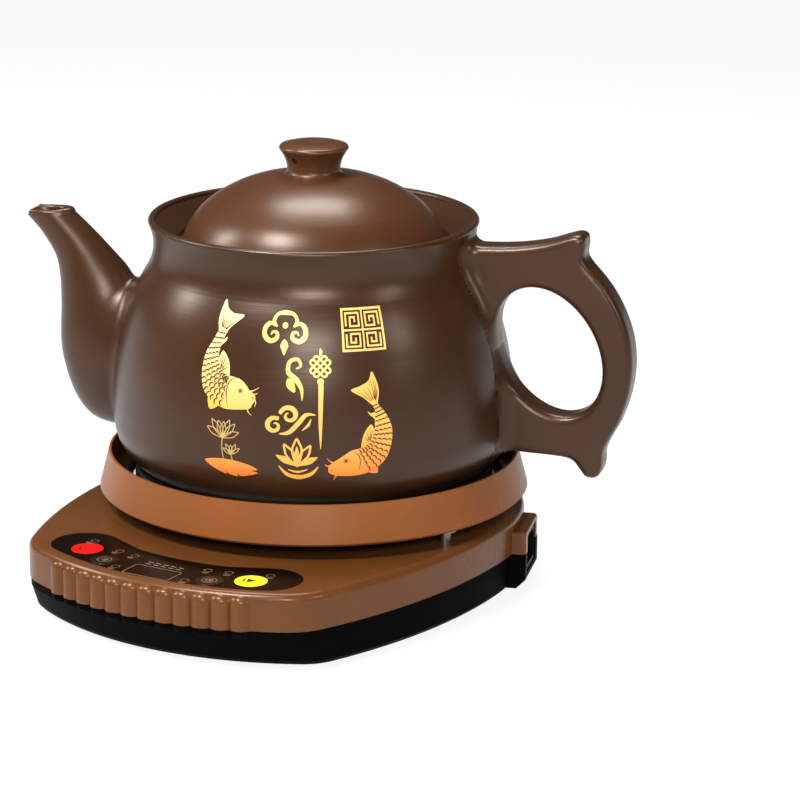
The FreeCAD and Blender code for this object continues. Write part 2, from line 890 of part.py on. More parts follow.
def lamp(index, x, y):
    """An indicator lamp that stands on the control board and reaches up into its hole in the deck."""
    body = new_body(f"lamp_{index}", x, y)
    disc(body, size("lamp_round"), board_top, recess_floor - size("display_gap"), name="Lens")
    return body


def display_module():
    body = new_body("display_module", 0, -display_reach)
    x, y = size("display_wide") / 2, size("display_deep") / 2
    block(body, -x, -y, x, y, board_top, recess_floor - size("display_gap"), "Case")
    return body


def control_board():
    """The crescent board below the panel, held on the two posts of the deck."""
    body = new_body("control_board")
    pad(body, panel_outline(body, "Outline", board_low, size("board_inset")), size("board_thick"), "Board")
    return body


def lower_housing():
    """The tapered black tray below the cover, with its bosses, foot holes, floor slots and socket seat."""
    body = new_body("lower_housing")
    low, band, top = size("foot_drop"), size("band_level"), size("parting_level")
    step, wall, bevel = size("parting_step"), size("housing_wall"), size("bottom_bevel")
    flank = body.newObject("PartDesign::AdditiveLoft", "Flank")
    flank.Profile = lower_outline(body, "FlankOutline", low + bevel)
    flank.Sections = [upper_outline(body, "BandOutline", band, step)]
    edge = body.newObject("PartDesign::AdditiveLoft", "FloorBevel")
    edge.Profile = lower_outline(body, "FloorOutline", low, bevel)
    edge.Sections = [lower_outline(body, "BevelOutline", low + bevel)]
    pad(body, upper_outline(body, "RimOutline", band, step), top - band, "Band")
    half, face, turn = size("inlet_block_wide") / 2, size("inlet_face"), size("inlet_angle")
    block_foot = size("inlet_block_foot")
    block(body, size("socket_back"), -half, face, half, block_foot, top, "InletBlock", turn=turn)
    chamfered(body, size("inlet_chamfer"), block_foot_edge, "BlockFoot")
    radius, soft = size("rib_round") - step, size("rib_foot_round")
    middle = quarter(radius - soft, band + soft, soft, -45)
    rib_side = [(0, band), (radius - soft, band), (radius, band + soft, middle)]
    add_ribs(body, rib_side + [(radius, top), (0, top)])
    cavity = body.newObject("PartDesign::SubtractiveLoft", "FlankCavity")
    cavity.Profile = lower_outline(body, "CavityFloor", floor_top, wall)
    cavity.Sections = [upper_outline(body, "CavityBand", band, step + wall)]
    rim = upper_outline(body, "CavityRim", band, step + wall)
    pocket(body, rim, top - band, "RimCavity", back=True)
    wide = size("socket_wide") / 2 + size("socket_gap")
    seat_low = size("socket_low") - size("socket_gap")
    seat = new_sketch(body, "SocketSeat", lift=seat_low, turn=size("inlet_angle"))
    add_loop(seat, box_loop(size("socket_back"), -wide, size("inlet_face") + 1, wide))
    pocket(body, seat, top - seat_low, "SocketOpening", back=True)
    for index, (x, y) in enumerate(SCREWS):
        disc(body, size("housing_boss_round"), low, top, x, y, f"ScrewBoss{index}")
    for index, (x, y) in enumerate(POWER_POSTS):
        disc(body, size("power_post_round"), low, size("power_board_level"), x, y, f"BoardPost{index}")
    bores(body, SCREWS, size("screw_round") + size("fit_gap"), low, top, "ScrewBores")
    sink = size("screw_sink") + size("screw_head_high")
    bores(body, SCREWS, size("screw_head_round") + size("fit_gap"), low, low + sink, "HeadBores")
    bores(body, FEET, size("foot_peg_round") + size("fit_gap"), low, floor_top, "FootBores")
    slot = new_sketch(body, "Slot", lift=low)
    half = size("slot_long") / 2
    start = -size("slot_start_y")
    add_loop(slot, box_loop(-half, start, half, start + size("slot_wide")))
    first = pocket(body, slot, size("floor_thick"), "FirstSlot", back=True)
    slots = body.newObject("PartDesign::LinearPattern", "FloorSlots")
    slots.Originals = [first]
    slots.Direction = (origin_feature(body, "Y_Axis"), [""])
    slots.Reversed = True
    bind(slots, "Length", (size("slot_count") - 1) * size("slot_pitch"))
    bind(slots, "Occurrences", size("slot_count"))
    body.Tip = slots
    return body


def block_foot_edge(edge):
    """The lower outer edge of the inlet block."""
    middle = edge.CenterOfMass
    outer = math.hypot(middle.x, middle.y) > SIZES["inlet_face"] - 0.5
    return outer and at_level(edge, size("inlet_block_foot"))


def foot(index, x, y):
    """A rubber foot, held by its peg in a hole of the floor."""
    body = new_body(f"foot_{index}", x, y)
    disc(body, size("foot_round"), 0, size("foot_drop"), name="Pad")
    disc(body, size("foot_peg_round"), size("foot_drop"), floor_top, name="Peg")
    chamfered(body, size("foot_drop") / 4, lambda edge: at_level(edge, 0), "SoftEdge")
    return body


def base_screw(index, x, y):
    """A screw from below: its head is sunk in the housing and its shank bites in the boss of the cover."""
    body = new_body(f"base_screw_{index}", x, y)
    head_low = size("foot_drop") + size("screw_sink")
    head_top = head_low + size("screw_head_high")
    disc(body, size("screw_head_round"), head_low, head_top, name="Head")
    disc(body, size("screw_round"), head_top, screw_top, name="Shank")
    return body


def inlet_socket():
    """The mains inlet: a block between the two shells, with a mouth for the plug of the lead."""
    body = new_body("inlet_socket", turn=size("inlet_angle"))
    half = size("socket_wide") / 2
    face = size("inlet_face") - size("socket_setback")
    block(body, size("socket_back"), -half, face, half, size("socket_low"), size("socket_high"), "Case")
    mouth = new_sketch(body, "Mouth", "YZ_Plane", lift=face)
    y, rise = size("socket_mouth_wide") / 2, size("socket_mouth_high") / 2
    corner = size("socket_mouth_corner")
    middle = socket_middle
    add_loop(
        mouth,
        [
            (y, middle - rise),
            (y, middle + rise - corner),
            (y - corner, middle + rise),
            (corner - y, middle + rise),
            (-y, middle + rise - corner),
            (-y, middle - rise),
        ],
    )
    pocket(body, mouth, size("socket_mouth_deep"), "PlugMouth")
    pins = new_sketch(body, "PinSlots", "YZ_Plane", lift=size("socket_back"))
    for y, rise in PINS:
        add_loop(pins, pin_loop(y, rise, size("fit_gap")))
    pocket(body, pins, face - size("socket_mouth_deep") - size("socket_back"), "PinCuts", back=True)
    return body


def pin_loop(y, rise, gap=0):
    """The upright section of a flat pin at this place in the mouth."""
    half_thick, half_wide = size("pin_thick") / 2 + gap, size("pin_wide") / 2 + gap
    level = socket_middle + rise
    return box_loop(y - half_thick, level - half_wide, y + half_thick, level + half_wide)


def inlet_pin(index, y, rise):
    body = new_body(f"inlet_pin_{index}", turn=size("inlet_angle"))
    start = size("socket_back") - size("pin_tab")
    sketch = new_sketch(body, "Section", "YZ_Plane", lift=start)
    add_loop(sketch, pin_loop(y, rise))
    root_x = size("inlet_face") - size("socket_setback") - size("socket_mouth_deep")
    pad(body, sketch, root_x + size("pin_reach") - start, "Blade")
    return body


def power_board():
    body = new_body("power_board")
    left, right = -size("power_board_left"), size("power_board_right")
    front, rear = -size("power_board_front"), size("power_board_rear")
    block(body, left, front, right, rear, size("power_board_level"), power_board_top, "Board")
    return body


def board_piece(label, left, front, wide, deep, high):
    """A boxed component that stands on the power board."""
    body = new_body(label)
    edges = (left, front, left + wide, front + deep)
    block(body, *edges, power_board_top, power_board_top + high, "Case")
    return body


def transformer():
    """A small transformer: a laminated core with a wider coil round its middle."""
    left, front = -size("core_left"), size("core_front")
    wide, deep, high = size("core_wide"), size("core_deep"), size("core_high")
    body = board_piece("transformer", left, front, wide, deep, high)
    proud, inset = size("coil_proud"), size("coil_inset")
    edges = (left + inset, front - proud, left + wide - inset, front + deep + proud)
    block(body, *edges, power_board_top, power_board_top + high - inset, "Coil")
    return body


def relay():
    edges = [size(f"relay_{side}") for side in ("left", "front", "wide", "deep", "high")]
    edges[1] = -edges[1]
    return board_piece("relay", *edges)


def buzzer():
    """A round sounder with a small hole in its top."""
    body = new_body("buzzer", size("buzzer_x"), size("buzzer_y"))
    top = power_board_top + size("buzzer_high")
    disc(body, size("buzzer_round"), power_board_top, top, name="Case")
    bores(body, [(0, 0)], size("sound_hole"), top - size("sound_hole_deep"), top, "SoundHole")
    return body


def heater_terminal():
    """The terminal block below the two heater leads."""
    x, y = size("terminal_deep") / 2, size("terminal_long") / 2
    drop = size("lead_drop_x")
    return board_piece("heater_terminal", drop - x, -y, x * 2, y * 2, size("terminal_high"))


def mains_terminal():
    """The terminal block at the tabs of the inlet's pins."""
    deep, long, high = size("mains_terminal_deep"), size("mains_terminal_long"), size("mains_terminal_high")
    left = size("power_board_right") - size("board_margin") - deep
    front = (size("socket_back") - size("pin_tab")) * sin(size("inlet_angle")) - long / 2
    return board_piece("mains_terminal", left, front, deep, long, high)


def standoff_post(index, turn):
    """A metal post between the deck and the heater ring, with a wide nut on top and a stud at each end."""
    x, y = polar(size("post_reach"), turn)
    body = new_body(f"standoff_post_{index}", x, y)
    deck, ring = size("deck_level"), size("ring_floor")
    disc(body, size("post_round"), deck, ring, name="Post")
    disc(body, size("post_nut_round"), ring - size("post_nut_high"), ring, name="Nut")
    stud_low = deck - size("stud_reach") - size("deck_thick") / 2
    disc(body, size("stud_round"), stud_low, deck, name="LowerStud")
    disc(body, size("stud_round"), ring, ring + size("stud_reach"), name="UpperStud")
    return body


def heater_ring():
    """The painted skirt of the heater: a flaring sheet that folds in below to a flange on the posts."""
    low, top, sheet_thick = size("ring_floor"), size("ring_top"), size("ring_sheet")
    foot, fold, crown = size("ring_foot_round"), size("ring_fold"), size("ring_top_round")
    inner = size("ring_flange_inner")
    body = lathe(
        "heater_ring",
        [
            (foot - fold, low),
            (foot, low + fold),
            (crown, top),
            (crown - sheet_thick, top),
            (foot - sheet_thick, low + fold + sheet_thick / 2),
            (foot - fold - sheet_thick / 2, low + sheet_thick),
            (inner, low + sheet_thick),
            (inner, low),
        ],
    )
    places = [polar(size("post_reach"), turn) for turn in POST_TURNS]
    bores(body, places, size("stud_round") + size("fit_gap"), low, low + sheet_thick, "StudHoles")
    return body


def heater_pan():
    """The drip pan on the flange of the ring, with a turned-up rim."""
    low, thick, outer = pan_low, size("pan_sheet"), size("pan_round")
    rim = low + size("pan_rim_high")
    bore = size("guide_bore") + size("element_gap")
    body = lathe(
        "heater_pan",
        [
            (outer, low),
            (outer, rim),
            (outer - thick, rim),
            (outer - thick, low + thick),
            (bore, low + thick),
            (bore, low),
        ],
    )
    bores(body, LEADS, size("lead_round") + size("lead_hole_gap"), low, low + thick, "LeadHoles")
    return body


def insulation_disc():
    body = new_body("insulation_disc")
    bore = size("guide_bore") + size("element_gap")
    disc(body, size("insulation_round"), pan_top, insulation_top, name="Disc")
    bores(body, [(0, 0)], bore, pan_top, insulation_top, "SensorHole")
    bores(body, LEADS, size("lead_round") + size("lead_hole_gap"), pan_top, insulation_top, "LeadHoles")
    return body


def element_path(body, name, end):
    """The run of the tubular element: nearly a full ring. Its ends bend in side by side to this distance."""
    path = new_sketch(body, name, lift=element_level)
    ring, bend, side = size("element_ring"), size("element_bend"), size("element_side")
    offset = side + bend
    bend_x = math.sqrt((ring - bend).number ** 2 - offset.number**2)
    half_turn = math.atan2(offset.number, bend_x)
    bends = []
    quarter_turn = math.pi / 2
    spans = ((offset, -quarter_turn, half_turn), (-offset, -half_turn, quarter_turn))
    for center_y, first_turn, last_turn in spans:
        circle = Part.Circle(vector((bend_x, center_y)), Vector(0, 0, 1), bend.number)
        bends.append(path.addGeometry(Part.ArcOfCircle(circle, first_turn, last_turn), False))
    circle = Part.Circle(Vector(0, 0, 0), Vector(0, 0, 1), ring.number)
    round_arc = path.addGeometry(Part.ArcOfCircle(circle, half_turn, 2 * math.pi - half_turn), False)
    first = path.addGeometry(Part.LineSegment(vector((end, side)), vector((bend_x, side))), False)
    last = path.addGeometry(Part.LineSegment(vector((bend_x, -side)), vector((end, -side))), False)
    chain = [(first, 2, bends[0], 1), (bends[0], 2, round_arc, 1)]
    chain += [(round_arc, 2, bends[1], 1), (bends[1], 2, last, 1)]
    for links in chain:
        path.addConstraint(Sketcher.Constraint("Tangent", *links))
    for line in (first, last):
        path.addConstraint(Sketcher.Constraint("Horizontal", line))
    fix_point(path, first, 1, (end, side))
    fix_point(path, last, 2, (end, -side))
    fix_point(path, round_arc, 3, (0, 0))
    fix(path, "Radius", (round_arc,), ring)
    for arc in bends:
        fix(path, "Radius", (arc,), bend)
    return path


def element_section(body, name, radius, start):
    section = new_sketch(body, name, "YZ_Plane", lift=start)
    add_circle(section, size("element_side"), element_level, radius)
    return section


def heating_element():
    body = new_body("heating_element")
    tube = body.newObject("PartDesign::AdditivePipe", "Tube")
    tube.Profile = element_section(body, "Section", size("element_round"), size("element_end"))
    tube.Spine = element_path(body, "Run", size("element_end"))
    return body


def hot_plate():
    """The cast plate that the pot stands on, grooved below for the element."""
    outer, rim, hub = size("plate_round"), size("plate_rim"), size("plate_hub")
    bore = size("guide_bore") + size("sensor_gap")
    soft = size("plate_edge_round")
    low, top = insulation_top, plate_top
    under = top - size("plate_thick")
    body = lathe(
        "hot_plate",
        [
            (outer, low),
            (outer, top - soft),
            (outer - soft, top, quarter(outer - soft, top - soft, soft, 45)),
            (bore, top),
            (bore, low),
            (bore + hub, low),
            (bore + hub, under),
            (outer - rim, under),
            (outer - rim, low),
        ],
    )
    before = volume_of(body)
    channel = body.newObject("PartDesign::SubtractivePipe", "ElementChannel")
    start = size("lead_drop_x") - size("lead_round") - size("sensor_gap")
    channel_round = size("element_round") + size("element_gap")
    channel.Profile = element_section(body, "ChannelSection", channel_round, start)
    channel.Spine = element_path(body, "ChannelRun", start)
    demand_less(body, before, "ElementChannel")
    return body


def thermal_fuse():
    """A cylindrical fuse that lies on the insulation disc inside the element's ring."""
    level = insulation_top + size("fuse_round") + size("fit_gap")
    body = new_body("thermal_fuse", -size("fuse_reach"), 0, level)
    section = new_sketch(body, "Section", "YZ_Plane", lift=-size("fuse_long") / 2)
    add_circle(section, 0, 0, size("fuse_round"))
    pad(body, section, size("fuse_long"), "Barrel")
    return body


def cable_column():
    """The tube between the deck and the pan that hides the leads."""
    body = new_body("cable_column")
    low, top = size("deck_level"), size("ring_floor") + size("ring_sheet")
    disc(body, size("column_outer"), low, top, name="Tube")
    bores(body, [(0, 0)], size("column_inner"), low, top, "Bore")
    return body


def sensor_guide():
    """The cup under the pan in which the sensor's cap slides, with a floor for its spring."""
    bore, wall = size("guide_bore"), size("guide_wall")
    low, floor, eye = size("guide_low"), size("guide_low") + size("guide_floor"), size("guide_eye")
    return lathe(
        "sensor_guide",
        [
            (bore + wall, low),
            (bore + wall, pan_low),
            (bore, pan_low),
            (bore, floor),
            (eye, floor),
            (eye, low),
        ],
    )


def sensor_cap():
    """The sprung cap that touches the bottom of the pot."""
    outer = size("guide_bore") - size("sensor_gap")
    thick, top = size("sensor_sheet"), sensor_top
    low = top - size("sensor_skirt")
    return lathe(
        "sensor_cap",
        [
            (outer, low),
            (outer, top - thick),
            (outer - thick, top, quarter(outer - thick, top - thick, thick, 45)),
            (0, top),
            (0, top - thick),
            (outer - thick, top - thick),
            (outer - thick, low),
        ],
    )


def sensor_spring():
    """The coil spring from the guide's floor up to the cap."""
    wire, gap = size("spring_wire").number, SIZES["fit_gap"]
    low = (size("guide_low") + size("guide_floor")).number + wire + gap
    high = (sensor_top - size("sensor_sheet")).number - wire - gap
    radius = SIZES["spring_round"]
    helix = Part.makeHelix((high - low) / SIZES["spring_turns"], high - low, radius)
    turns = [2 * math.pi * step / 6 for step in range(7)]
    section = Part.makePolygon([Vector(radius + wire * math.cos(a), 0, wire * math.sin(a)) for a in turns])
    coil = Part.Wire(helix.Edges).makePipeShell([section], True, True)
    spring = doc.addObject("Part::Feature", "sensor_spring")
    spring.Shape = coil
    spring.Placement = Placement(Vector(0, 0, low), Rotation())
    return spring


def heater_lead(index, side):
    """A lead from the end of the element, inwards and down through the column to the terminal block."""
    body = new_body(f"heater_lead_{index}")
    y = side * size("element_side")
    bend = 2 * size("lead_round")
    drop, start = size("lead_drop_x"), size("element_end")
    low = power_board_top + size("terminal_high")
    path = new_sketch(body, "Run", "XZ_Plane", lift=-y)
    corner = vector((drop + bend, element_level - bend))
    level_start, level_end = (start, element_level), (drop + bend, element_level)
    fall_start, fall_end = (drop, element_level - bend), (drop, low)
    level_run = path.addGeometry(Part.LineSegment(vector(level_start), vector(level_end)), False)
    arc = Part.ArcOfCircle(Part.Circle(corner, Vector(0, 0, 1), bend.number), math.pi / 2, math.pi)
    turn = path.addGeometry(arc, False)
    fall = path.addGeometry(Part.LineSegment(vector(fall_start), vector(fall_end)), False)
    path.addConstraint(Sketcher.Constraint("Tangent", level_run, 2, turn, 1))
    path.addConstraint(Sketcher.Constraint("Tangent", turn, 2, fall, 1))
    path.addConstraint(Sketcher.Constraint("Horizontal", level_run))
    path.addConstraint(Sketcher.Constraint("Vertical", fall))
    fix_point(path, level_run, 1, level_start)
    fix_point(path, fall, 2, fall_end)
    fix(path, "Radius", (turn,), bend)
    section = new_sketch(body, "Section", "YZ_Plane", lift=start)
    add_circle(section, y, element_level, size("lead_round"))
    tube = body.newObject("PartDesign::AdditivePipe", "Tube")
    tube.Profile = section
    tube.Spine = path
    return body


# ---------------------------------------------------------------- pot and lid


def pot_outside_stops():
    """The outside of the pot, from its foot up to the lip."""
    belly, belly_z = size("belly_round"), size("belly_level")
    shoulder, shoulder_z = size("shoulder_radius"), size("shoulder_level")
    foot_x, foot_z = size("neck_foot_round"), size("neck_foot_level")
    return [
        (size("pot_foot_round"), pot_seat),
        (belly, belly_z, (belly - size("belly_tuck"), belly_z - size("belly_tuck_drop"))),
        (shoulder, shoulder_z, shoulder_middle(belly, belly_z, shoulder, shoulder_z)),
        (foot_x, foot_z, neck_middle(shoulder, shoulder_z, foot_x, foot_z)),
        (size("lip_round"), size("lip_level"), (size("neck_round"), size("neck_level"))),
    ]


def shoulder_middle(low_x, low_z, high_x, high_z):
    """The middle stop of the pot's upper belly, between its ends."""
    return (low_x + high_x) / 2 + size("shoulder_crown"), (low_z + high_z) / 2 + size("shoulder_crown_rise")


def neck_middle(low_x, low_z, high_x, high_z):
    return (low_x + high_x) / 2 + size("neck_crown"), (low_z + high_z) / 2 + size("neck_crown")


def pot_form():
    """The pot's outside as a solid form that trims the spout and the handle, not a piece of its own."""
    return lathe("pot_form", [(0, pot_seat), *pot_outside_stops(), (0, size("lip_level"))])


def pot_body():
    """The stoneware crock: a belly, a neck with a ledge for the lid, and strainer holes behind the spout."""
    wall, floor = size("pot_wall"), pot_seat + size("pot_floor")
    lip, lip_z, crest = size("lip_round"), size("lip_level"), size("lip_crest")
    inner_lip = lip - size("lip_thick")
    ledge, throat = size("ledge_level"), size("throat_round")
    under = ledge - size("ledge_thick")
    outside = pot_outside_stops()
    belly = size("belly_round") - wall, size("belly_level")
    shoulder = size("shoulder_radius") - wall, size("shoulder_level")
    neck = size("neck_foot_round") - wall, size("neck_foot_level") - wall / 2
    tuck = (belly[0] - size("floor_tuck"), belly[1] - size("floor_tuck_drop"))
    body = lathe(
        "pot_body",
        [
            (0, pot_seat),
            *outside,
            (inner_lip, lip_z, (lip - size("lip_thick") / 2, crest)),
            (size("ledge_outer") + size("ledge_flare"), ledge + size("ledge_round")),
            (size("ledge_outer"), ledge),
            (throat, ledge),
            (throat, under),
            (neck[0] - size("neck_inside_run"), under),
            (*neck, (neck[0] - size("neck_inside_in"), under - size("neck_inside_drop"))),
            (*shoulder, neck_middle(*shoulder, *neck)),
            (*belly, shoulder_middle(*belly, *shoulder)),
            (size("pot_foot_round") - wall, floor, tuck),
            (0, floor),
        ],
        turn=size("pot_turn"),
    )
    strainer = new_sketch(body, "Strainer", "YZ_Plane")
    pitch, level = size("strainer_pitch"), size("strainer_level")
    add_circle(strainer, 0, level, size("strainer_hole"))
    for step in range(6):
        x, y = quarter(0, level, pitch, 30 + 60 * step)
        add_circle(strainer, x, y, size("strainer_hole"))
    pocket(body, strainer, size("belly_round") + 1, "StrainerHoles")
    return body


# the spout's sections: centre (beyond the belly, above the seat), tilt from upright, and half axes
SPOUT_SECTIONS = [
    (-15, 52.9, 90, 41.5, 27),
    (4, 54.4, 70, 42, 24.5),
    (14.8, 69.4, 50, 31, 20.5),
    (18.6, 89.3, 34, 20.8, 16.2),
    (26.3, 107.2, 33, 13.6, 11.8),
    (37.6, 120.9, 45, 10.6, 9.8),
    (48, 130.9, 49, 9.6, 9),
]


def oval(name, long_half, short_half):
    """A smooth closed curve through points of an ellipse, which lofts better than the ellipse itself."""
    points = 8
    turns = [2 * math.pi * step / points for step in range(points)]
    curve = Part.BSplineCurve()
    points = [Vector(long_half * math.cos(a), short_half * math.sin(a), 0) for a in turns]
    curve.interpolate(points, PeriodicFlag=True)
    feature = doc.addObject("Part::Feature", name)
    feature.Shape = Part.Wire([curve.toShape()])
    return feature


def spout_loft(name, slim_root=0, slim_mouth=0):
    """A tube through the spout's sections, slimmed all round by an amount that varies along it."""
    ovals = []
    last = len(SPOUT_SECTIONS) - 1
    belly, seat = size("belly_round").number, pot_seat.number
    for index, (beyond, above, tilt, long_half, short_half) in enumerate(SPOUT_SECTIONS):
        slim = slim_root + (slim_mouth - slim_root) * (index / last)
        section = oval(f"{name}Section{index}", long_half - slim, short_half - slim)
        place = Vector(-belly - beyond, 0, seat + above)
        section.Placement = Placement(place, Rotation(Vector(0, 1, 0), -tilt))
        ovals.append(section)
    loft = doc.addObject("Part::Loft", name)
    loft.Sections = ovals
    loft.Solid = True
    loft.MaxDegree = 3
    return loft


def pot_spout(form):
    """The hollow spout, trimmed to the outside of the pot and cut level at its mouth."""
    outer = spout_loft("SpoutOutside")
    inner = spout_loft("SpoutBore", SIZES["spout_wall"], SIZES["mouth_wall"])
    above = doc.addObject("Part::Box", "AboveMouth")
    belly = size("belly_round")
    for side, length in (("Length", belly), ("Width", belly), ("Height", belly)):
        bind(above, side, length)
    place(above, -belly * 2, -belly / 2, size("lip_level") - size("mouth_drop"))
    tools = doc.addObject("Part::MultiFuse", "SpoutTools")
    tools.Shapes = [inner, form, above]
    cut = doc.addObject("Part::Cut", "pot_spout")
    cut.Base = outer
    cut.Tool = tools
    cut.Label = "pot_spout"
    place(cut, turn=size("pot_turn"))
    return cut


def pot_handle():
    """The flat-sided ear handle with a thorn above and below, trimmed to the outside of the pot."""
    body = new_body("pot_handle", turn=size("pot_turn"))
    sketch = new_sketch(body, "Outline", "XZ_Plane")
    thorn_low, thorn_high = size("thorn_low"), size("thorn_high")
    root_low, root_high = size("handle_root_low"), size("handle_root_high")
    inside, back = size("throat_round") + size("handle_start"), size("handle_reach")
    tip, thorn_wide = back - size("thorn_setback"), size("thorn_wide")
    notch_low, notch_high = thorn_low + size("low_notch"), thorn_high - size("high_notch")
    neck, high_tip = tip - size("high_notch_run"), tip - size("high_thorn_run")
    slope_end = tip - thorn_wide - size("thorn_slope")
    add_loop(
        sketch,
        [
            (inside, root_low),
            (slope_end, root_low),
            (tip - thorn_wide, thorn_low),
            (tip, thorn_low),
            (tip, notch_low),
            (neck, notch_high, (back, (notch_low + notch_high) / 2 - size("handle_sag"))),
            (high_tip, thorn_high),
            (inside, root_high, (tip - size("handle_rise_run"), root_high + size("handle_rise"))),
        ],
    )
    pad(body, sketch, size("handle_thick"), "Slab", middle=True)
    convex = [(tip - thorn_wide, thorn_low), (tip, thorn_low), (high_tip, thorn_high)]
    concave = [(slope_end, root_low), (tip, notch_low), (neck, notch_high)]
    rounded(body, size("thorn_round"), lambda edge: stands_at(edge, convex), "ThornTips")
    rounded(body, size("notch_round"), lambda edge: stands_at(edge, concave), "Notches")
    loop = new_sketch(body, "FingerLoop", "XZ_Plane")
    loop_x = back - size("loop_setback")
    add_ellipse(loop, loop_x, size("loop_level"), size("loop_long"), size("loop_short"), size("loop_turn"))
    loop.AttachmentOffset = Placement(Vector(0, 0, -size("handle_thick").number), Rotation())
    bind(loop, "AttachmentOffset.Base.z", -size("handle_thick"))
    pocket(body, loop, size("handle_thick") * 2, "FingerHole", back=True)
    rounded(body, size("loop_edge"), is_loop, "LoopEdges")
    rounded(body, size("handle_edge"), is_soft, "SoftEdges")
    trim = new_sketch(body, "PotOutside", "YZ_Plane")
    add_loop(trim, [(0, pot_seat), *pot_outside_stops(), (0, size("lip_level"))])
    groove(body, trim, "PotTrim")
    return body


def stands_at(edge, corners):
    """Is this an edge across the handle at one of the corners (reach, level) of its outline?"""
    middle = edge.CenterOfMass
    return any(math.hypot(middle.x - number(x), middle.z - number(z)) < 0.1 for x, z in corners)


def in_side(edge):
    """Is this edge in a flat side of the handle?"""
    return edge.BoundBox.YLength < 1e-4 and abs(abs(edge.CenterOfMass.y) - SIZES["handle_thick"] / 2) < 1e-3


def is_loop(edge):
    """Is this edge one of the two closed rims of the finger loop?"""
    return in_side(edge) and edge.isClosed()


def is_soft(edge):
    """Is this edge in the outline of a flat side, clear of the loop and of the end inside the pot?"""
    inside = SIZES["throat_round"] + SIZES["handle_start"]
    loop_x = SIZES["handle_reach"] - SIZES["loop_setback"]
    loop_rim = math.hypot(edge.CenterOfMass.x - loop_x, edge.CenterOfMass.z - SIZES["loop_level"]) < 1
    return in_side(edge) and not loop_rim and edge.CenterOfMass.x > inside + 1


def lid():
    """The domed lid with a spigot that drops in the throat and a hollow knob with a steam vent."""
    low = size("ledge_level") + size("lid_gap")
    edge, rim = size("lid_edge"), size("lid_round")
    spigot = size("throat_round") - size("lid_spigot_gap")
    spigot_inner, spigot_low = spigot - size("lid_spigot"), low - size("lid_spigot_deep")
    mid_x, mid_z = size("dome_mid_round"), size("dome_mid_level")
    top, wall = size("dome_top_level"), size("lid_wall")
    neck, knob, knob_z = size("knob_neck"), size("knob_round"), size("knob_level")
    bore, crown = size("knob_bore"), size("knob_top")
    neck_foot, neck_z = neck + size("knob_foot"), top + size("knob_foot")
    foot_round = size("knob_foot_round")
    edge_in, edge_z = size("knob_edge"), knob_z + size("knob_edge_rise")
    crown_x, crown_z = (mid_x + neck_foot) / 2, (mid_z + top) / 2
    dome_crown = (crown_x + size("dome_crown_run"), crown_z + size("dome_crown_rise"))
    dome_inside = (mid_x - size("dome_inside_run"), mid_z - size("dome_inside_drop"))
    knob_waist = (neck + size("knob_waist_run"), (neck_z + knob_z) / 2 + size("knob_waist_rise"))
    knob_edge = (knob - size("knob_edge_bulge"), edge_z - size("knob_edge_bulge_drop"))
    body = lathe(
        "lid",
        [
            (spigot_inner, spigot_low),
            (spigot, spigot_low),
            (spigot, low),
            (rim, low),
            (rim, low + edge),
            (mid_x, mid_z, (mid_x + size("dome_brim_run"), mid_z - size("dome_brim_drop"))),
            (neck_foot, top, dome_crown),
            (neck, neck_z, (neck + foot_round, top + foot_round)),
            (knob, knob_z, knob_waist),
            (knob - edge_in, edge_z, knob_edge),
            (knob / 3, crown, (knob * 2 / 3, crown - size("knob_crown_drop"))),
            (0, crown),
            (0, crown - wall),
            (bore, crown - wall),
            (bore, top - wall),
            (spigot_inner, low + size("spigot_root"), dome_inside),
        ],
    )
    vent = new_sketch(body, "Vent", "XZ_Plane", turn=size("vent_angle"))
    add_circle(vent, 0, size("vent_level"), size("vent_round"))
    pocket(body, vent, knob + 1, "SteamVent", back=True)
    return body


# ---------------------------------------------------------------- build, check and write


def build_all():
    form = pot_form()
    pieces = [pot_body(), pot_spout(form), pot_handle(), lid()]
    pieces += [heater_ring(), heater_pan(), insulation_disc(), heating_element(), hot_plate(), thermal_fuse()]
    pieces += [cable_column(), sensor_guide(), sensor_spring(), sensor_cap()]
    pieces += [heater_lead(index, side) for index, side in enumerate((-1, 1), start=1)]
    pieces += [standoff_post(index, turn) for index, turn in enumerate(POST_TURNS, start=1)]
    pieces += [top_cover(), panel_overlay(), display_module(), control_board()]
    for index, (label, (angle, reach, radius)) in enumerate(KEYS.items(), start=1):
        pieces += [key(label, angle, reach, radius), tact_switch(index, angle, reach)]
    pieces += [lamp(index, x, y) for index, (x, y) in enumerate(LAMPS, start=1)]
    pieces += [lower_housing(), inlet_socket()]
    pieces += [inlet_pin(index, y, rise) for index, (y, rise) in enumerate(PINS, start=1)]
    pieces += [power_board(), transformer(), relay(), buzzer(), heater_terminal(), mains_terminal()]
    pieces += [foot(index, x, y) for index, (x, y) in enumerate(FEET, start=1)]
    pieces += [base_screw(index, x, y) for index, (x, y) in enumerate(SCREWS, start=1)]
    return pieces


pieces = build_all()
doc.recompute()
for thing in doc.Objects:
    if {"Invalid", "Error"} & set(thing.State):
        raise RuntimeError(f"{thing.Label} of {thing.Name} failed: {thing.State}")
for piece in pieces:
    if piece.Shape.isNull() or not piece.Shape.isValid():
        raise RuntimeError(f"{piece.Label} has no valid shape")
os.makedirs("parts", exist_ok=True)
for piece in pieces:
    piece.Shape.exportStep(f"parts/{piece.Label}.step")
    print(piece.Label, round(piece.Shape.Volume / 1000, 2), "cm3")
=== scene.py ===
import math

import bmesh
import bpy
from mathutils import Matrix, Vector
from mathutils.geometry import tessellate_polygon


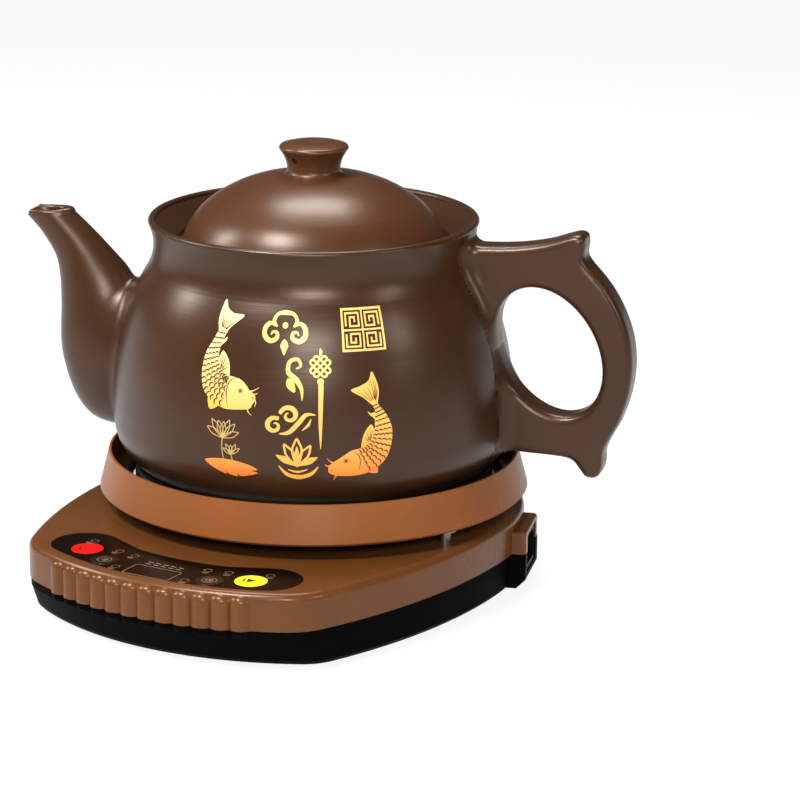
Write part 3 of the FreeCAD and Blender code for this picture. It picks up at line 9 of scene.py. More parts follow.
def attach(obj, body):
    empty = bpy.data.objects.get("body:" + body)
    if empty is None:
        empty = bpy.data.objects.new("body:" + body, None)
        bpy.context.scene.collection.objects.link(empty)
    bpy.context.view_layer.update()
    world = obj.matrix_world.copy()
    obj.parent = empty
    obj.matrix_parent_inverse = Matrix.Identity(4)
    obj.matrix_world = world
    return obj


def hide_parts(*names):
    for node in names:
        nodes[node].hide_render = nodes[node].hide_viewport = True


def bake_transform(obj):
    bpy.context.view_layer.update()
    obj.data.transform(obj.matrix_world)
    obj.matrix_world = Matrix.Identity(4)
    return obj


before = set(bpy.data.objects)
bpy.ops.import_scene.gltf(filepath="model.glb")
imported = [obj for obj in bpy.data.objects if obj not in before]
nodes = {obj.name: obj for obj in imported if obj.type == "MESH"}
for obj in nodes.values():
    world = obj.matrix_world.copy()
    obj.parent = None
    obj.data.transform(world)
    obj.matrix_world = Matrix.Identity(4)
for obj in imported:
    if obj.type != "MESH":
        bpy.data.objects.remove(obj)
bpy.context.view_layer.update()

MM = 0.001
scene = bpy.context.scene
scene.view_settings.view_transform = "Standard"


# ---------------------------------------------------------------- camera

CAMERA_PLACE = Vector((0.9411, -1.5069, 0.591))
CAMERA_TURN = 30.5
CAMERA_PITCH = 15.6
CAMERA_ROLL = 0.35
CAMERA_LENS = 154.7


def add_camera():
    """The camera as fitted to the photograph: its place, three angles and lens."""
    turn, pitch, roll = (math.radians(angle) for angle in (CAMERA_TURN, CAMERA_PITCH, CAMERA_ROLL))
    across = Vector((math.cos(turn), math.sin(turn), 0))
    ahead = Vector((-math.cos(pitch) * math.sin(turn), math.cos(pitch) * math.cos(turn), -math.sin(pitch)))
    above = across.cross(ahead)
    right = across * math.cos(roll) + above * math.sin(roll)
    up = above * math.cos(roll) - across * math.sin(roll)
    data = bpy.data.cameras.new("camera")
    data.lens = CAMERA_LENS
    data.clip_start = 0.05
    data.clip_end = 50
    camera = bpy.data.objects.new("camera", data)
    matrix = Matrix((right, up, -ahead)).transposed().to_4x4()
    matrix.translation = CAMERA_PLACE
    camera.matrix_world = matrix
    scene.collection.objects.link(camera)
    scene.camera = camera


add_camera()


# ---------------------------------------------------------------- materials


finishes = {}


class Nodes:
    def __init__(self, name):
        self.name = name
        self.material = bpy.data.materials.new(name)
        self.material.use_nodes = True
        self.tree = self.material.node_tree
        self.shader = self.tree.nodes["Principled BSDF"]
        self.place = self.add("ShaderNodeTexCoord").outputs["Object"]

    def add(self, kind, **settings):
        node = self.tree.nodes.new(kind)
        for key, value in settings.items():
            setattr(node, key, value)
        return node

    def link(self, source, target):
        self.tree.links.new(source, target)

    def scaled(self, x, y, z):
        """The object's own coordinates, stretched along each axis."""
        mapping = self.add("ShaderNodeMapping")
        self.link(self.place, mapping.inputs["Vector"])
        mapping.inputs["Scale"].default_value = (x, y, z)
        return mapping.outputs["Vector"]

    def noise(self, scale, detail=2, vector=None, rough=0.5):
        node = self.add("ShaderNodeTexNoise")
        self.link(vector or self.place, node.inputs["Vector"])
        node.inputs["Scale"].default_value = scale
        node.inputs["Detail"].default_value = detail
        node.inputs["Roughness"].default_value = rough
        return node.outputs["Fac"]

    def ramp(self, source, stops):
        """Colours along a value: stops are (position, linear colour)."""
        node = self.add("ShaderNodeValToRGB")
        self.link(source, node.inputs["Fac"])
        ramp = node.color_ramp
        while len(ramp.elements) < len(stops):
            ramp.elements.new(0.5)
        for element, (position, colour) in zip(ramp.elements, stops):
            element.position = position
            element.color = (*colour, 1)
        return node.outputs["Color"]

    def span(self, source, low, high, start=0.3, end=0.7):
        """A value read between two others, for roughness and strengths."""
        node = self.add("ShaderNodeMapRange")
        self.link(source, node.inputs["Value"])
        node.inputs["From Min"].default_value = start
        node.inputs["From Max"].default_value = end
        node.inputs["To Min"].default_value = low
        node.inputs["To Max"].default_value = high
        return node.outputs["Result"]

    def math(self, operation, first, second):
        node = self.add("ShaderNodeMath", operation=operation)
        for socket, value in zip(node.inputs, (first, second)):
            if isinstance(value, (int, float)):
                socket.default_value = value
            else:
                self.link(value, socket)
        return node.outputs[0]

    def mix(self, factor, first, second, blend="MIX"):
        node = self.add("ShaderNodeMix", data_type="RGBA", blend_type=blend)
        for socket, value in ((node.inputs[0], factor), (node.inputs[6], first), (node.inputs[7], second)):
            if isinstance(value, tuple):
                socket.default_value = (*value, 1)
            elif isinstance(value, (int, float)):
                socket.default_value = value
            else:
                self.link(value, socket)
        return node.outputs[2]

    def bump(self, height, strength, distance, below=None):
        node = self.add("ShaderNodeBump")
        self.link(height, node.inputs["Height"])
        node.inputs["Strength"].default_value = strength
        node.inputs["Distance"].default_value = distance
        if below:
            self.link(below, node.inputs["Normal"])
        return node.outputs["Normal"]

    def finish(self, colour=None, rough=None, normal=None, **plain):
        for source, name in ((colour, "Base Color"), (rough, "Roughness"), (normal, "Normal")):
            if source is not None:
                self.link(source, self.shader.inputs[name])
        for name, value in plain.items():
            self.shader.inputs[name.replace("_", " ")].default_value = value
        finishes[self.name] = self.material


def dim(colour, factor):
    return tuple(min(1, channel * factor) for channel in colour)


WARM_GLOSS = (1.0, 0.84, 0.72, 1)
CLAY_LINES = (6, 6, 1100)
CLAY_ROUGH = (0.28, 0.36)
CLAY_SHINE = 0.44


def clay(name, colour, warm):
    """Fired stoneware: turning lines round the axis, a fine grain, and a colour that drifts in the kiln."""
    n = Nodes(name)
    split = n.add("ShaderNodeSeparateXYZ")
    n.link(n.place, split.inputs[0])
    x, y, z = split.outputs
    reach = n.math("SQRT", n.math("ADD", n.math("MULTIPLY", x, x), n.math("MULTIPLY", y, y)), 0)
    along = n.math("SUBTRACT", z, reach)
    lines_at = n.add("ShaderNodeCombineXYZ")
    for socket, source, scale in zip(lines_at.inputs, (x, y, along), CLAY_LINES):
        n.link(n.math("MULTIPLY", source, scale), socket)
    lines = n.noise(1, 3, lines_at.outputs[0], 0.6)
    drift = n.noise(14, 3)
    grain = n.noise(1900, 2)
    body = n.ramp(drift, [(0.3, dim(colour, 0.86)), (0.55, colour), (0.75, warm)])
    speck = n.ramp(grain, [(0.35, (0.86, 0.86, 0.86)), (0.65, (1.1, 1.08, 1.06))])
    mixed = n.mix(0.5, body, speck, "MULTIPLY")
    wear = n.add("ShaderNodeNewGeometry").outputs["Pointiness"]
    edge = n.span(wear, 0, 0.35, 0.52, 0.62)
    tinted = n.mix(edge, mixed, dim(warm, 1.7))
    surface = n.math("ADD", n.math("MULTIPLY", lines, 0.6), n.math("MULTIPLY", grain, 0.4))
    rough = n.span(surface, *CLAY_ROUGH)
    normal = n.bump(grain, 0.10, 0.00012)
    normal = n.bump(lines, 0.16, 0.0002, normal)
    n.finish(tinted, rough, normal, Specular_IOR_Level=CLAY_SHINE, Specular_Tint=WARM_GLOSS)


PEEL_SCALE = 900


def paint(name, colour, low, high, metal=0.0, shine=0.5, peel=0.06):
    """A sprayed or moulded finish: a faint orange peel, a drifting gloss and a little handling."""
    n = Nodes(name)
    drift = n.noise(22, 3)
    peel_at = n.noise(PEEL_SCALE, 2)
    smear = n.noise(16, 3, n.scaled(1, 2.5, 1))
    body = n.ramp(drift, [(0.3, dim(colour, 0.92)), (0.7, dim(colour, 1.06))])
    rough = n.span(smear, low, high)
    normal = n.bump(peel_at, peel, 0.0001)
    n.finish(body, rough, normal, Metallic=metal, Specular_IOR_Level=shine, Specular_Tint=WARM_GLOSS)


def metal(name, colour, low, high, stretch=(1, 1, 60)):
    """Metal with fine lines along one way, or with an even grain where the stretch is even."""
    n = Nodes(name)
    lines = n.noise(700, 3, n.scaled(*stretch), 0.6)
    stain = n.noise(40, 4)
    body = n.ramp(stain, [(0.3, dim(colour, 0.8)), (0.7, colour)])
    rough = n.span(lines, low, high)
    n.finish(body, rough, n.bump(lines, 0.12, 0.00005), Metallic=1.0)


def rubbery(name, colour, rough_low=0.55, rough_high=0.75, scale=1500, strength=0.3, shine=0.3):
    """A matt moulded or woven surface with a fine texture."""
    n = Nodes(name)
    drift = n.noise(30, 3)
    grain = n.noise(scale, 2)
    body = n.ramp(drift, [(0.3, dim(colour, 0.85)), (0.7, dim(colour, 1.12))])
    normal = n.bump(grain, strength, 0.0001)
    n.finish(body, n.span(grain, rough_low, rough_high), normal, Specular_IOR_Level=shine)


def foil(name, low_colour, high_colour, low_level, high_level, metallic=0.25):
    """Fired gold print: it runs from one colour to another up the pot, a little broken by the clay below."""
    n = Nodes(name)
    split = n.add("ShaderNodeSeparateXYZ")
    n.link(n.place, split.inputs[0])
    level = n.span(split.outputs[2], 0, 1, low_level * MM, high_level * MM)
    patch = n.noise(900, 3)
    wobble = n.math("ADD", level, n.math("MULTIPLY", n.math("SUBTRACT", patch, 0.5), 0.25))
    body = n.ramp(wobble, [(0.0, low_colour), (1.0, high_colour)])
    n.finish(body, n.span(patch, 0.3, 0.45), n.bump(patch, 0.15, 0.00005), Metallic=metallic)


CLAY = (0.0300, 0.0112, 0.0036)
CLAY_WARM = (0.037, 0.0135, 0.0042)

for part in ("stoneware", "stoneware_spout", "stoneware_handle"):
    clay(part, CLAY, CLAY_WARM)
# the lid is the same clay as the pot, painted lighter: painted light for its upturned top, which the lamps
# light more than the body
clay("stoneware_lid", (0.058, 0.021, 0.0065), (0.068, 0.024, 0.007))
paint("ring_paint", (0.175, 0.056, 0.0135), 0.34, 0.40, shine=0.26, peel=0.03)
metal("pan_steel", (0.060, 0.056, 0.050), 0.4, 0.55)
rubbery("insulation", (0.62, 0.60, 0.55), 0.8, 0.95, 600, 0.6)
metal("element_steel", (0.42, 0.40, 0.38), 0.3, 0.5)
metal("plate_iron", (0.075, 0.070, 0.065), 0.45, 0.6, (1, 1, 1))
paint("cover_plastic", (0.090, 0.030, 0.0070), 0.24, 0.29, shine=0.30, peel=0.0)
rubbery("housing_plastic", (0.0016, 0.0016, 0.0017), 0.42, 0.5, 1100, 0.16, 0.01)
paint("overlay_plastic", (0.0046, 0.0019, 0.0010), 0.14, 0.18, shine=0.04, peel=0.004)
paint("display_glass", (0.010, 0.005, 0.003), 0.08, 0.12, shine=0.2, peel=0.004)
paint("key_red", (0.70, 0.004, 0.003), 0.34, 0.40, shine=0.1, peel=0.02)
paint("key_yellow", (0.96, 0.84, 0.02), 0.34, 0.40, shine=0.2, peel=0.02)
paint("key_black", (0.0085, 0.0045, 0.003), 0.24, 0.30, shine=0.2, peel=0.01)
paint("board_green", (0.02, 0.14, 0.05), 0.3, 0.45)
rubbery("component_black", (0.012, 0.012, 0.013))
metal("component_core", (0.30, 0.29, 0.28), 0.4, 0.55, (1, 60, 1))
paint("lamp_lens", (0.10, 0.022, 0.012), 0.15, 0.22, shine=0.4)
metal("post_steel", (0.26, 0.22, 0.18), 0.34, 0.46)
rubbery("column_black", (0.010, 0.010, 0.011))
paint("sensor_steel", (0.50, 0.49, 0.47), 0.3, 0.42, metal=1.0, peel=0.02)
metal("spring_steel", (0.55, 0.55, 0.56), 0.25, 0.4)
rubbery("lead_sleeve", (0.62, 0.60, 0.56), 0.7, 0.9, 2600, 0.5)
rubbery("socket_black", (0.0025, 0.0025, 0.0027), 0.38, 0.48, 1300, 0.12, 0.1)
metal("pin_brass", (0.72, 0.58, 0.30), 0.18, 0.3)
rubbery("foot_rubber", (0.006, 0.006, 0.006), 0.7, 0.9, shine=0.1)
metal("screw_steel", (0.5, 0.5, 0.51), 0.25, 0.4)

SMOOTH_ANGLE = 32


def smooth(piece, angle=SMOOTH_ANGLE):
    piece.data.polygons.foreach_set("use_smooth", [True] * len(piece.data.polygons))
    piece.data.set_sharp_from_angle(angle=math.radians(angle))


def dress_nodes():
    """Every carried-over node takes the finish of its material slot."""
    for name, node in nodes.items():
        for index, material in enumerate(node.data.materials):
            slot = material.name.split(".")[0] if material else None
            finish = finishes.get(slot)
            if finish is None:
                raise RuntimeError(f"{name} has no finish for {slot}")
            node.data.materials[index] = finish


dress_nodes()


# ---------------------------------------------------------------- floor and light


FLOOR_HALF = 30
FLOOR_PALE = 0.88
WORLD_STRENGTH = 0.07
LAMP_AIM = Vector((0, 0, 0.12))


def add_floor():
    """A pale floor, which camera, glossy and transmission rays see mostly as plain white."""
    mesh = bpy.data.meshes.new("floor")
    corners = [(x * FLOOR_HALF, y * FLOOR_HALF, 0) for x, y in ((-1, -1), (1, -1), (1, 1), (-1, 1))]
    mesh.from_pydata(corners, [], [(0, 1, 2, 3)])
    floor = bpy.data.objects.new("floor", mesh)
    scene.collection.objects.link(floor)
    n = Nodes("floor_white")
    tone = n.ramp(n.noise(3, 2), [(0.3, (0.93, 0.93, 0.93)), (0.7, (0.95, 0.95, 0.95))])
    n.finish(tone, None, None, Roughness=0.9, Specular_IOR_Level=0.1)
    white = n.add("ShaderNodeEmission")
    white.inputs["Color"].default_value = (1, 1, 1, 1)
    white.inputs["Strength"].default_value = 1
    path = n.add("ShaderNodeLightPath")
    seen = n.math("MAXIMUM", path.outputs["Is Camera Ray"],
                  n.math("MAXIMUM", path.outputs["Is Glossy Ray"], path.outputs["Is Transmission Ray"]))
    share = n.math("MULTIPLY", seen, FLOOR_PALE)
    mix = n.add("ShaderNodeMixShader")
    n.link(share, mix.inputs[0])
    n.link(n.shader.outputs[0], mix.inputs[1])
    n.link(white.outputs[0], mix.inputs[2])
    n.link(mix.outputs[0], n.tree.nodes["Material Output"].inputs["Surface"])
    mesh.materials.append(n.material)


def add_world():
    """An even, weak light from all round."""
    world = bpy.data.worlds.new("studio")
    scene.world = world
    world.use_nodes = True
    tree = world.node_tree
    for node in list(tree.nodes):
        tree.nodes.remove(node)
    soft = tree.nodes.new("ShaderNodeBackground")
    soft.inputs["Color"].default_value = (1, 1, 1, 1)
    soft.inputs["Strength"].default_value = WORLD_STRENGTH
    out = tree.nodes.new("ShaderNodeOutputWorld")
    tree.links.new(soft.outputs[0], out.inputs["Surface"])


def add_softbox(name, turn, rise, away, wide, high, power):
    """A soft lamp in this direction and at this distance from the object, turned to it."""
    turn, rise = math.radians(turn), math.radians(rise)
    ahead = Vector((math.cos(rise) * math.cos(turn), math.cos(rise) * math.sin(turn), math.sin(rise)))
    place = LAMP_AIM + away * ahead
    data = bpy.data.lights.new(name, "AREA")
    data.shape = "RECTANGLE"
    data.size = wide
    data.size_y = high
    data.energy = power
    light = bpy.data.objects.new(name, data)
    light.location = place
    light.rotation_euler = (LAMP_AIM - place).to_track_quat("-Z", "Y").to_euler()
    scene.collection.objects.link(light)


add_floor()
add_world()
# name, turn and rise in degrees, distance, width and height in metres, power in watts
for lamp in (
    ("key_front", -60, 24, 2.5, 0.9, 0.6, 38),
    ("key_high", -104, 56, 1.8, 0.6, 0.4, 44),
    ("side_left", -156, 32, 1.9, 0.3, 0.6, 18),
    ("side_right", -4, 24, 1.8, 0.3, 0.6, 6),
    ("top_back", 122, 70, 1.6, 0.8, 0.5, 22),
):
    add_softbox(*lamp)

# ---------------------------------------------------------------- the pot's outside, for pieces that meet it

POT_TURN = 14.5
SEAT = 62.1
BELLY = 107
# each arc of the pot's outside: first, middle and last point (reach, level), in millimetres
POT_STOPS = [
    ((90, 62.1), (103.4, 75), (107, 91)),
    ((107, 91), (105.25, 117.75), (100.3, 140.5)),
    ((100.3, 140.5), (95.45, 155.75), (88.6, 169)),
    ((88.6, 169), (85.1, 179), (87.6, 194)),
]


def arc_through(first, middle, last, steps):
    """Points of the circle through three points, from the first to the last."""
    (ax, ay), (bx, by), (cx, cy) = first, middle, last
    d = 2 * (ax * (by - cy) + bx * (cy - ay) + cx * (ay - by))
    a2, b2, c2 = ax * ax + ay * ay, bx * bx + by * by, cx * cx + cy * cy
    x = (a2 * (by - cy) + b2 * (cy - ay) + c2 * (ay - by)) / d
    y = (a2 * (cx - bx) + b2 * (ax - cx) + c2 * (bx - ax)) / d
    start, end = math.atan2(ay - y, ax - x), math.atan2(cy - y, cx - x)
    sweep = (end - start + math.pi) % (2 * math.pi) - math.pi
    radius = math.hypot(ax - x, ay - y)
    turns = [start + sweep * step / steps for step in range(steps + 1)]
    return [(x + radius * math.cos(turn), y + radius * math.sin(turn)) for turn in turns]


ARC_STEPS = 24
POT_PROFILE = [point for stops in POT_STOPS for point in arc_through(*stops, ARC_STEPS)]


def pot_reach(level):
    """The pot's outside radius at this level, in millimetres."""
    if level <= POT_PROFILE[0][1]:
        return POT_PROFILE[0][0]
    for (r0, z0), (r1, z1) in zip(POT_PROFILE, POT_PROFILE[1:]):
        if z0 <= level <= z1 and z1 > z0:
            return r0 + (r1 - r0) * (level - z0) / (z1 - z0)
    return POT_PROFILE[-1][0]


def off_pot(point):
    """How far a point (pot frame, millimetres) is outside the pot, and the way straight out."""
    across = math.hypot(point.x, point.y)
    slope = (pot_reach(point.z + 1) - pot_reach(point.z - 1)) / 2
    normal = Vector((point.x / across, point.y / across, -slope))
    length = normal.length
    return (across - pot_reach(point.z)) / length, normal / length


def flared(point, outward, radius):
    """Moves a point near the pot away from its own piece, which so runs out onto the pot in a fillet."""
    distance, normal = off_pot(point)
    if distance >= radius:
        return point
    depth = min(radius, max(0, radius - distance))
    spread = radius - math.sqrt(radius * radius - depth * depth)
    along = outward - normal * outward.dot(normal)
    if along.length < 1e-4:
        return point
    moved = point + along.normalized() * spread
    again, normal = off_pot(moved)
    return moved + normal * (distance - again)


def through(points, share):
    """A smooth curve through rows of numbers; share runs from 0 to the last row's index."""
    last = len(points) - 1
    index = min(int(share), last - 1)
    local = share - index
    rows = [points[min(max(index + step, 0), last)] for step in (-1, 0, 1, 2)]
    result = []
    for a, b, c, d in zip(*rows):
        square, cube = 2 * a - 5 * b + 4 * c - d, 3 * b - a - 3 * c + d
        result.append(0.5 * (2 * b + (c - a) * local + square * local**2 + cube * local**3))
    return result


def open_curve(points, per_span):
    """Points of the smooth curve through these, so many to each span."""
    return [tuple(through(points, step / per_span)) for step in range(per_span * (len(points) - 1) + 1)]


def closed_curve(points, per_span):
    """The same for a ring of points."""
    looped = [points[-1], *points, points[0], points[1]]
    total = per_span * len(points)
    return [tuple(through(looped, 1 + step / per_span)) for step in range(total)]


def new_piece(name, mesh, slot, body, finish=None):
    """Makes a piece that rides on a body, with the finish of its slot unless another is given."""
    piece = bpy.data.objects.new(name, mesh)
    scene.collection.objects.link(piece)
    mesh.materials.append(finishes[finish or slot])
    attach(piece, body)
    return piece


def grid_faces(rows, around):
    """Quads between rows of points that each hold this many points round."""
    faces = []
    for row in range(rows - 1):
        for step in range(around):
            a, b = row * around + step, row * around + (step + 1) % around
            faces.append((a, b, b + around, a + around))
    return faces


TO_ROW = Matrix.Rotation(math.radians(POT_TURN), 4, "Z") @ Matrix.Scale(MM, 4)

# the spout's sections: centre (reach, level), how far the spout leans from upright there, and half axes
SPOUT_ROWS = [
    (BELLY - 15, SEAT + 52.9, 90, 41.5, 27),
    (BELLY + 4, SEAT + 54.4, 70, 42, 24.5),
    (BELLY + 14.8, SEAT + 69.4, 50, 31, 20.5),
    (BELLY + 18.6, SEAT + 89.3, 34, 20.8, 16.2),
    (BELLY + 26.3, SEAT + 107.2, 33, 13.6, 11.8),
    (BELLY + 37.6, SEAT + 120.9, 45, 10.6, 9.8),
    (BELLY + 48, SEAT + 130.9, 49, 9.6, 9),
]
MOUTH_LEVEL = 190.5
ROOT_WALL = 5.5
MOUTH_WALL = 3.5
# the radius of the spout's fillet onto the pot, and how much less it is on the underside
SPOUT_FLARE = 6.5
SPOUT_FLARE_LESS = 2.5
HALVINGS = 26


def spout_at(share, turn, inner):
    """A point of the spout's outside or bore, and the way out from the middle of its section."""
    reach, level, tilt, long_half, short_half = through(SPOUT_ROWS, share)
    if inner:
        wall = ROOT_WALL + (MOUTH_WALL - ROOT_WALL) * share / (len(SPOUT_ROWS) - 1)
        long_half, short_half = long_half - wall, short_half - wall
    tilt = math.radians(tilt)
    x, y = long_half * math.cos(turn), short_half * math.sin(turn)
    outward = Vector((x * math.cos(tilt), y, x * math.sin(tilt)))
    return Vector((-reach, 0, level)) + outward, outward.normalized()


def crossing(low, high, test):
    """Where the test turns true between two numbers, by halving."""
    for _ in range(HALVINGS):
        middle = (low + high) / 2
        if test(middle):
            high = middle
        else:
            low = middle
    return (low + high) / 2


def spout_line(turn, inner, count, flare):
    """Points along the spout at one turn round it, from the pot's wall to just below the mouth's lip."""
    last = len(SPOUT_ROWS) - 1
    marks = [step * 0.05 for step in range(20 * last + 1)]
    inside = max(mark for mark in marks if mark < 3 and off_pot(spout_at(mark, turn, inner)[0])[0] < 0)
    start = crossing(inside, inside + 0.06, lambda share: off_pot(spout_at(share, turn, inner)[0])[0] > 0)
    lip = MOUTH_LEVEL - MOUTH_WALL / 2
    end = crossing(last - 1.5, last, lambda share: spout_at(share, turn, inner)[0].z > lip)
    line = []
    for step in range(count):
        share = start + (end - start) * (step / (count - 1)) ** 1.5
        point, outward = spout_at(share, turn, inner)
        line.append(flared(point, outward, flare) if flare else point)
    return line


def build_spout():
    """The hollow spout with a rounded lip, run out onto the pot in a soft fillet."""
    around, count, lip_steps = 96, 84, 8
    columns = []
    for step in range(around):
        turn = 2 * math.pi * step / around
        flare = SPOUT_FLARE - SPOUT_FLARE_LESS * max(0, -math.cos(turn))
        outer = spout_line(turn, False, count, flare)
        inner = spout_line(turn, True, count, 0)
        top, bottom = outer[-1], inner[-1]
        middle, half = (top + bottom) / 2, (top - bottom) / 2
        lip = []
        for part in range(1, lip_steps):
            angle = math.pi * part / lip_steps
            lip.append(middle + half * math.cos(angle) + Vector((0, 0, half.length * math.sin(angle))))
        columns.append(outer + lip + list(reversed(inner)))
    rows = len(columns[0])
    points = [TO_ROW @ columns[step][row] for row in range(rows) for step in range(around)]
    mesh = bpy.data.meshes.new("spout_shell")
    mesh.from_pydata(points, [], grid_faces(rows, around))
    recalculate(mesh)
    piece = new_piece("spout_shell", mesh, "stoneware_spout", "pot")
    smooth(piece, 50)
    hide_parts("pot_spout")


def recalculate(mesh):
    """Makes the faces turn the same way, outward."""
    form = bmesh.new()
    form.from_mesh(mesh)
    bmesh.ops.recalc_face_normals(form, faces=form.faces)
    form.to_mesh(mesh)
    form.free()


build_spout()

# the handle's outline in its own plane (reach, level), from the upper root round to the lower one
HANDLE_OUTLINE = [
    (80, 187.0), (97, 187.6), (112, 188.8), (127, 191.6), (138.5, 195.4), (144, 196.9), (148, 195.6),
    (148.7, 190.5), (148.1, 185.3), (150.6, 180.9), (156.6, 174.4), (163, 166.2), (169.3, 154.6),
    (173.6, 141.5), (174.9, 128), (173.2, 113), (168.6, 98.2), (163.3, 88), (160.2, 80.6),
    (159.9, 73.5), (157.6, 67.6), (151.6, 67.0), (147.6, 71.6), (143.2, 76.0), (134, 77.2), (120, 77.6),
    (104, 78.2), (80, 79.0),
]
HANDLE_HALF = 9.5
HANDLE_EDGE = 4.2
# the finger hole: middle (reach, level), half axes, and turn in degrees
LOOP = (130.1, 133.3, 36.1, 25.9, 120)
LOOP_STEPS = 96
OUTLINE_STEPS = 6
HANDLE_FLARE = 8.0
HANDLE_SINK = 0.6
HANDLE_VOXEL = 0.95
HANDLE_RELAX = 6


def build_handle():
    """The ear handle: a slab with rounded edges and thorns, run out onto the pot in a fillet."""
    curve = bpy.data.curves.new("handle_outline", "CURVE")
    curve.dimensions = "2D"
    curve.fill_mode = "BOTH"
    curve.extrude = HANDLE_HALF - HANDLE_EDGE
    curve.bevel_depth = HANDLE_EDGE
    curve.bevel_resolution = 5
    curve.offset = -HANDLE_EDGE
    outline = open_curve(HANDLE_OUTLINE, OUTLINE_STEPS)
    x, y, long_half, short_half, turn = LOOP
    turn = math.radians(turn)
    hole = []
    for step in range(LOOP_STEPS):
        angle = 2 * math.pi * step / LOOP_STEPS
        u, v = long_half * math.cos(angle), short_half * math.sin(angle)
        across, rise = u * math.cos(turn) - v * math.sin(turn), u * math.sin(turn) + v * math.cos(turn)
        hole.append((x + across, y + rise))
    for points in (outline, hole):
        spline = curve.splines.new("POLY")
        spline.points.add(len(points) - 1)
        for target, (px, py) in zip(spline.points, points):
            target.co = (px, py, 0, 1)
        spline.use_cyclic_u = True
    stand = bpy.data.objects.new("handle_outline", curve)
    scene.collection.objects.link(stand)
    shaped = bpy.data.meshes.new_from_object(stand)
    bpy.data.objects.remove(stand)
    form = bmesh.new()
    form.from_mesh(shaped)
    bmesh.ops.remove_doubles(form, verts=form.verts, dist=0.01)
    form.to_mesh(shaped)
    form.free()
    mesh = remeshed(shaped, HANDLE_VOXEL, HANDLE_RELAX)
    form = bmesh.new()
    form.from_mesh(mesh)
    form.normal_update()
    ups = Matrix.Rotation(math.radians(90), 4, "X")
    normals = [ups.to_3x3() @ vert.normal for vert in form.verts]
    for vert, normal in zip(form.verts, normals):
        vert.co = flared(ups @ vert.co, normal, HANDLE_FLARE)
    hidden = [vert for vert in form.verts if off_pot(vert.co)[0] < -HANDLE_SINK]
    bmesh.ops.delete(form, geom=hidden, context="VERTS")
    form.to_mesh(mesh)
    form.free()
    mesh.transform(TO_ROW)
    recalculate(mesh)
    piece = new_piece("handle_form", mesh, "stoneware_handle", "pot")
    smooth(piece, 60)
    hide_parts("pot_handle")


def remeshed(mesh, voxel, relax):
    """The mesh rebuilt in even quads of this size and relaxed a little."""
    stand = bpy.data.objects.new("remesh_stand", mesh)
    scene.collection.objects.link(stand)
    remesh = stand.modifiers.new("remesh", "REMESH")
    remesh.mode = "VOXEL"
    remesh.voxel_size = voxel
    relaxing = stand.modifiers.new("relax", "SMOOTH")
    relaxing.factor = 0.5
    relaxing.iterations = relax
    view = bpy.context.evaluated_depsgraph_get()
    result = bpy.data.meshes.new_from_object(stand.evaluated_get(view), depsgraph=view)
    bpy.data.objects.remove(stand)
    result.materials.clear()
    return result


build_handle()

# ---------------------------------------------------------------- printed decoration

PRINT_ROUND = 100
PRINT_LIFT = 0.12
FIN_LIFT = 0.17
LINE_LIFT = 0.22
SHAPE_STEP = 0.004
# where each print's middle stands on the pot: turn in degrees, level in millimetres
CARP_LEFT_PLACE = (-82, 143)
CARP_RIGHT_PLACE = (-46, 108)
LOTUS_PLACE = (-82, 96)
COLUMN_PLACE = (-64, 125)
SEAL_PLACE = (-42.5, 158)


def on_pot(turn, level):
    """Lays a drawing on the pot: x runs round it as at a radius of PRINT_ROUND, y runs up."""

    def place(x, y, lift):
        angle = math.radians(turn) + x / PRINT_ROUND
        reach = pot_reach(level + y) + lift
        return Vector((reach * math.cos(angle), reach * math.sin(angle), level + y)) * MM

    return place


def on_plane(x0, y0, level, turn=0):
    """Lays a drawing flat on the panel or a key."""
    c, s = math.cos(math.radians(turn)), math.sin(math.radians(turn))

    def place(x, y, lift):
        return Vector((x0 + x * c - y * s, y0 + x * s + y * c, level + lift)) * MM

    return place


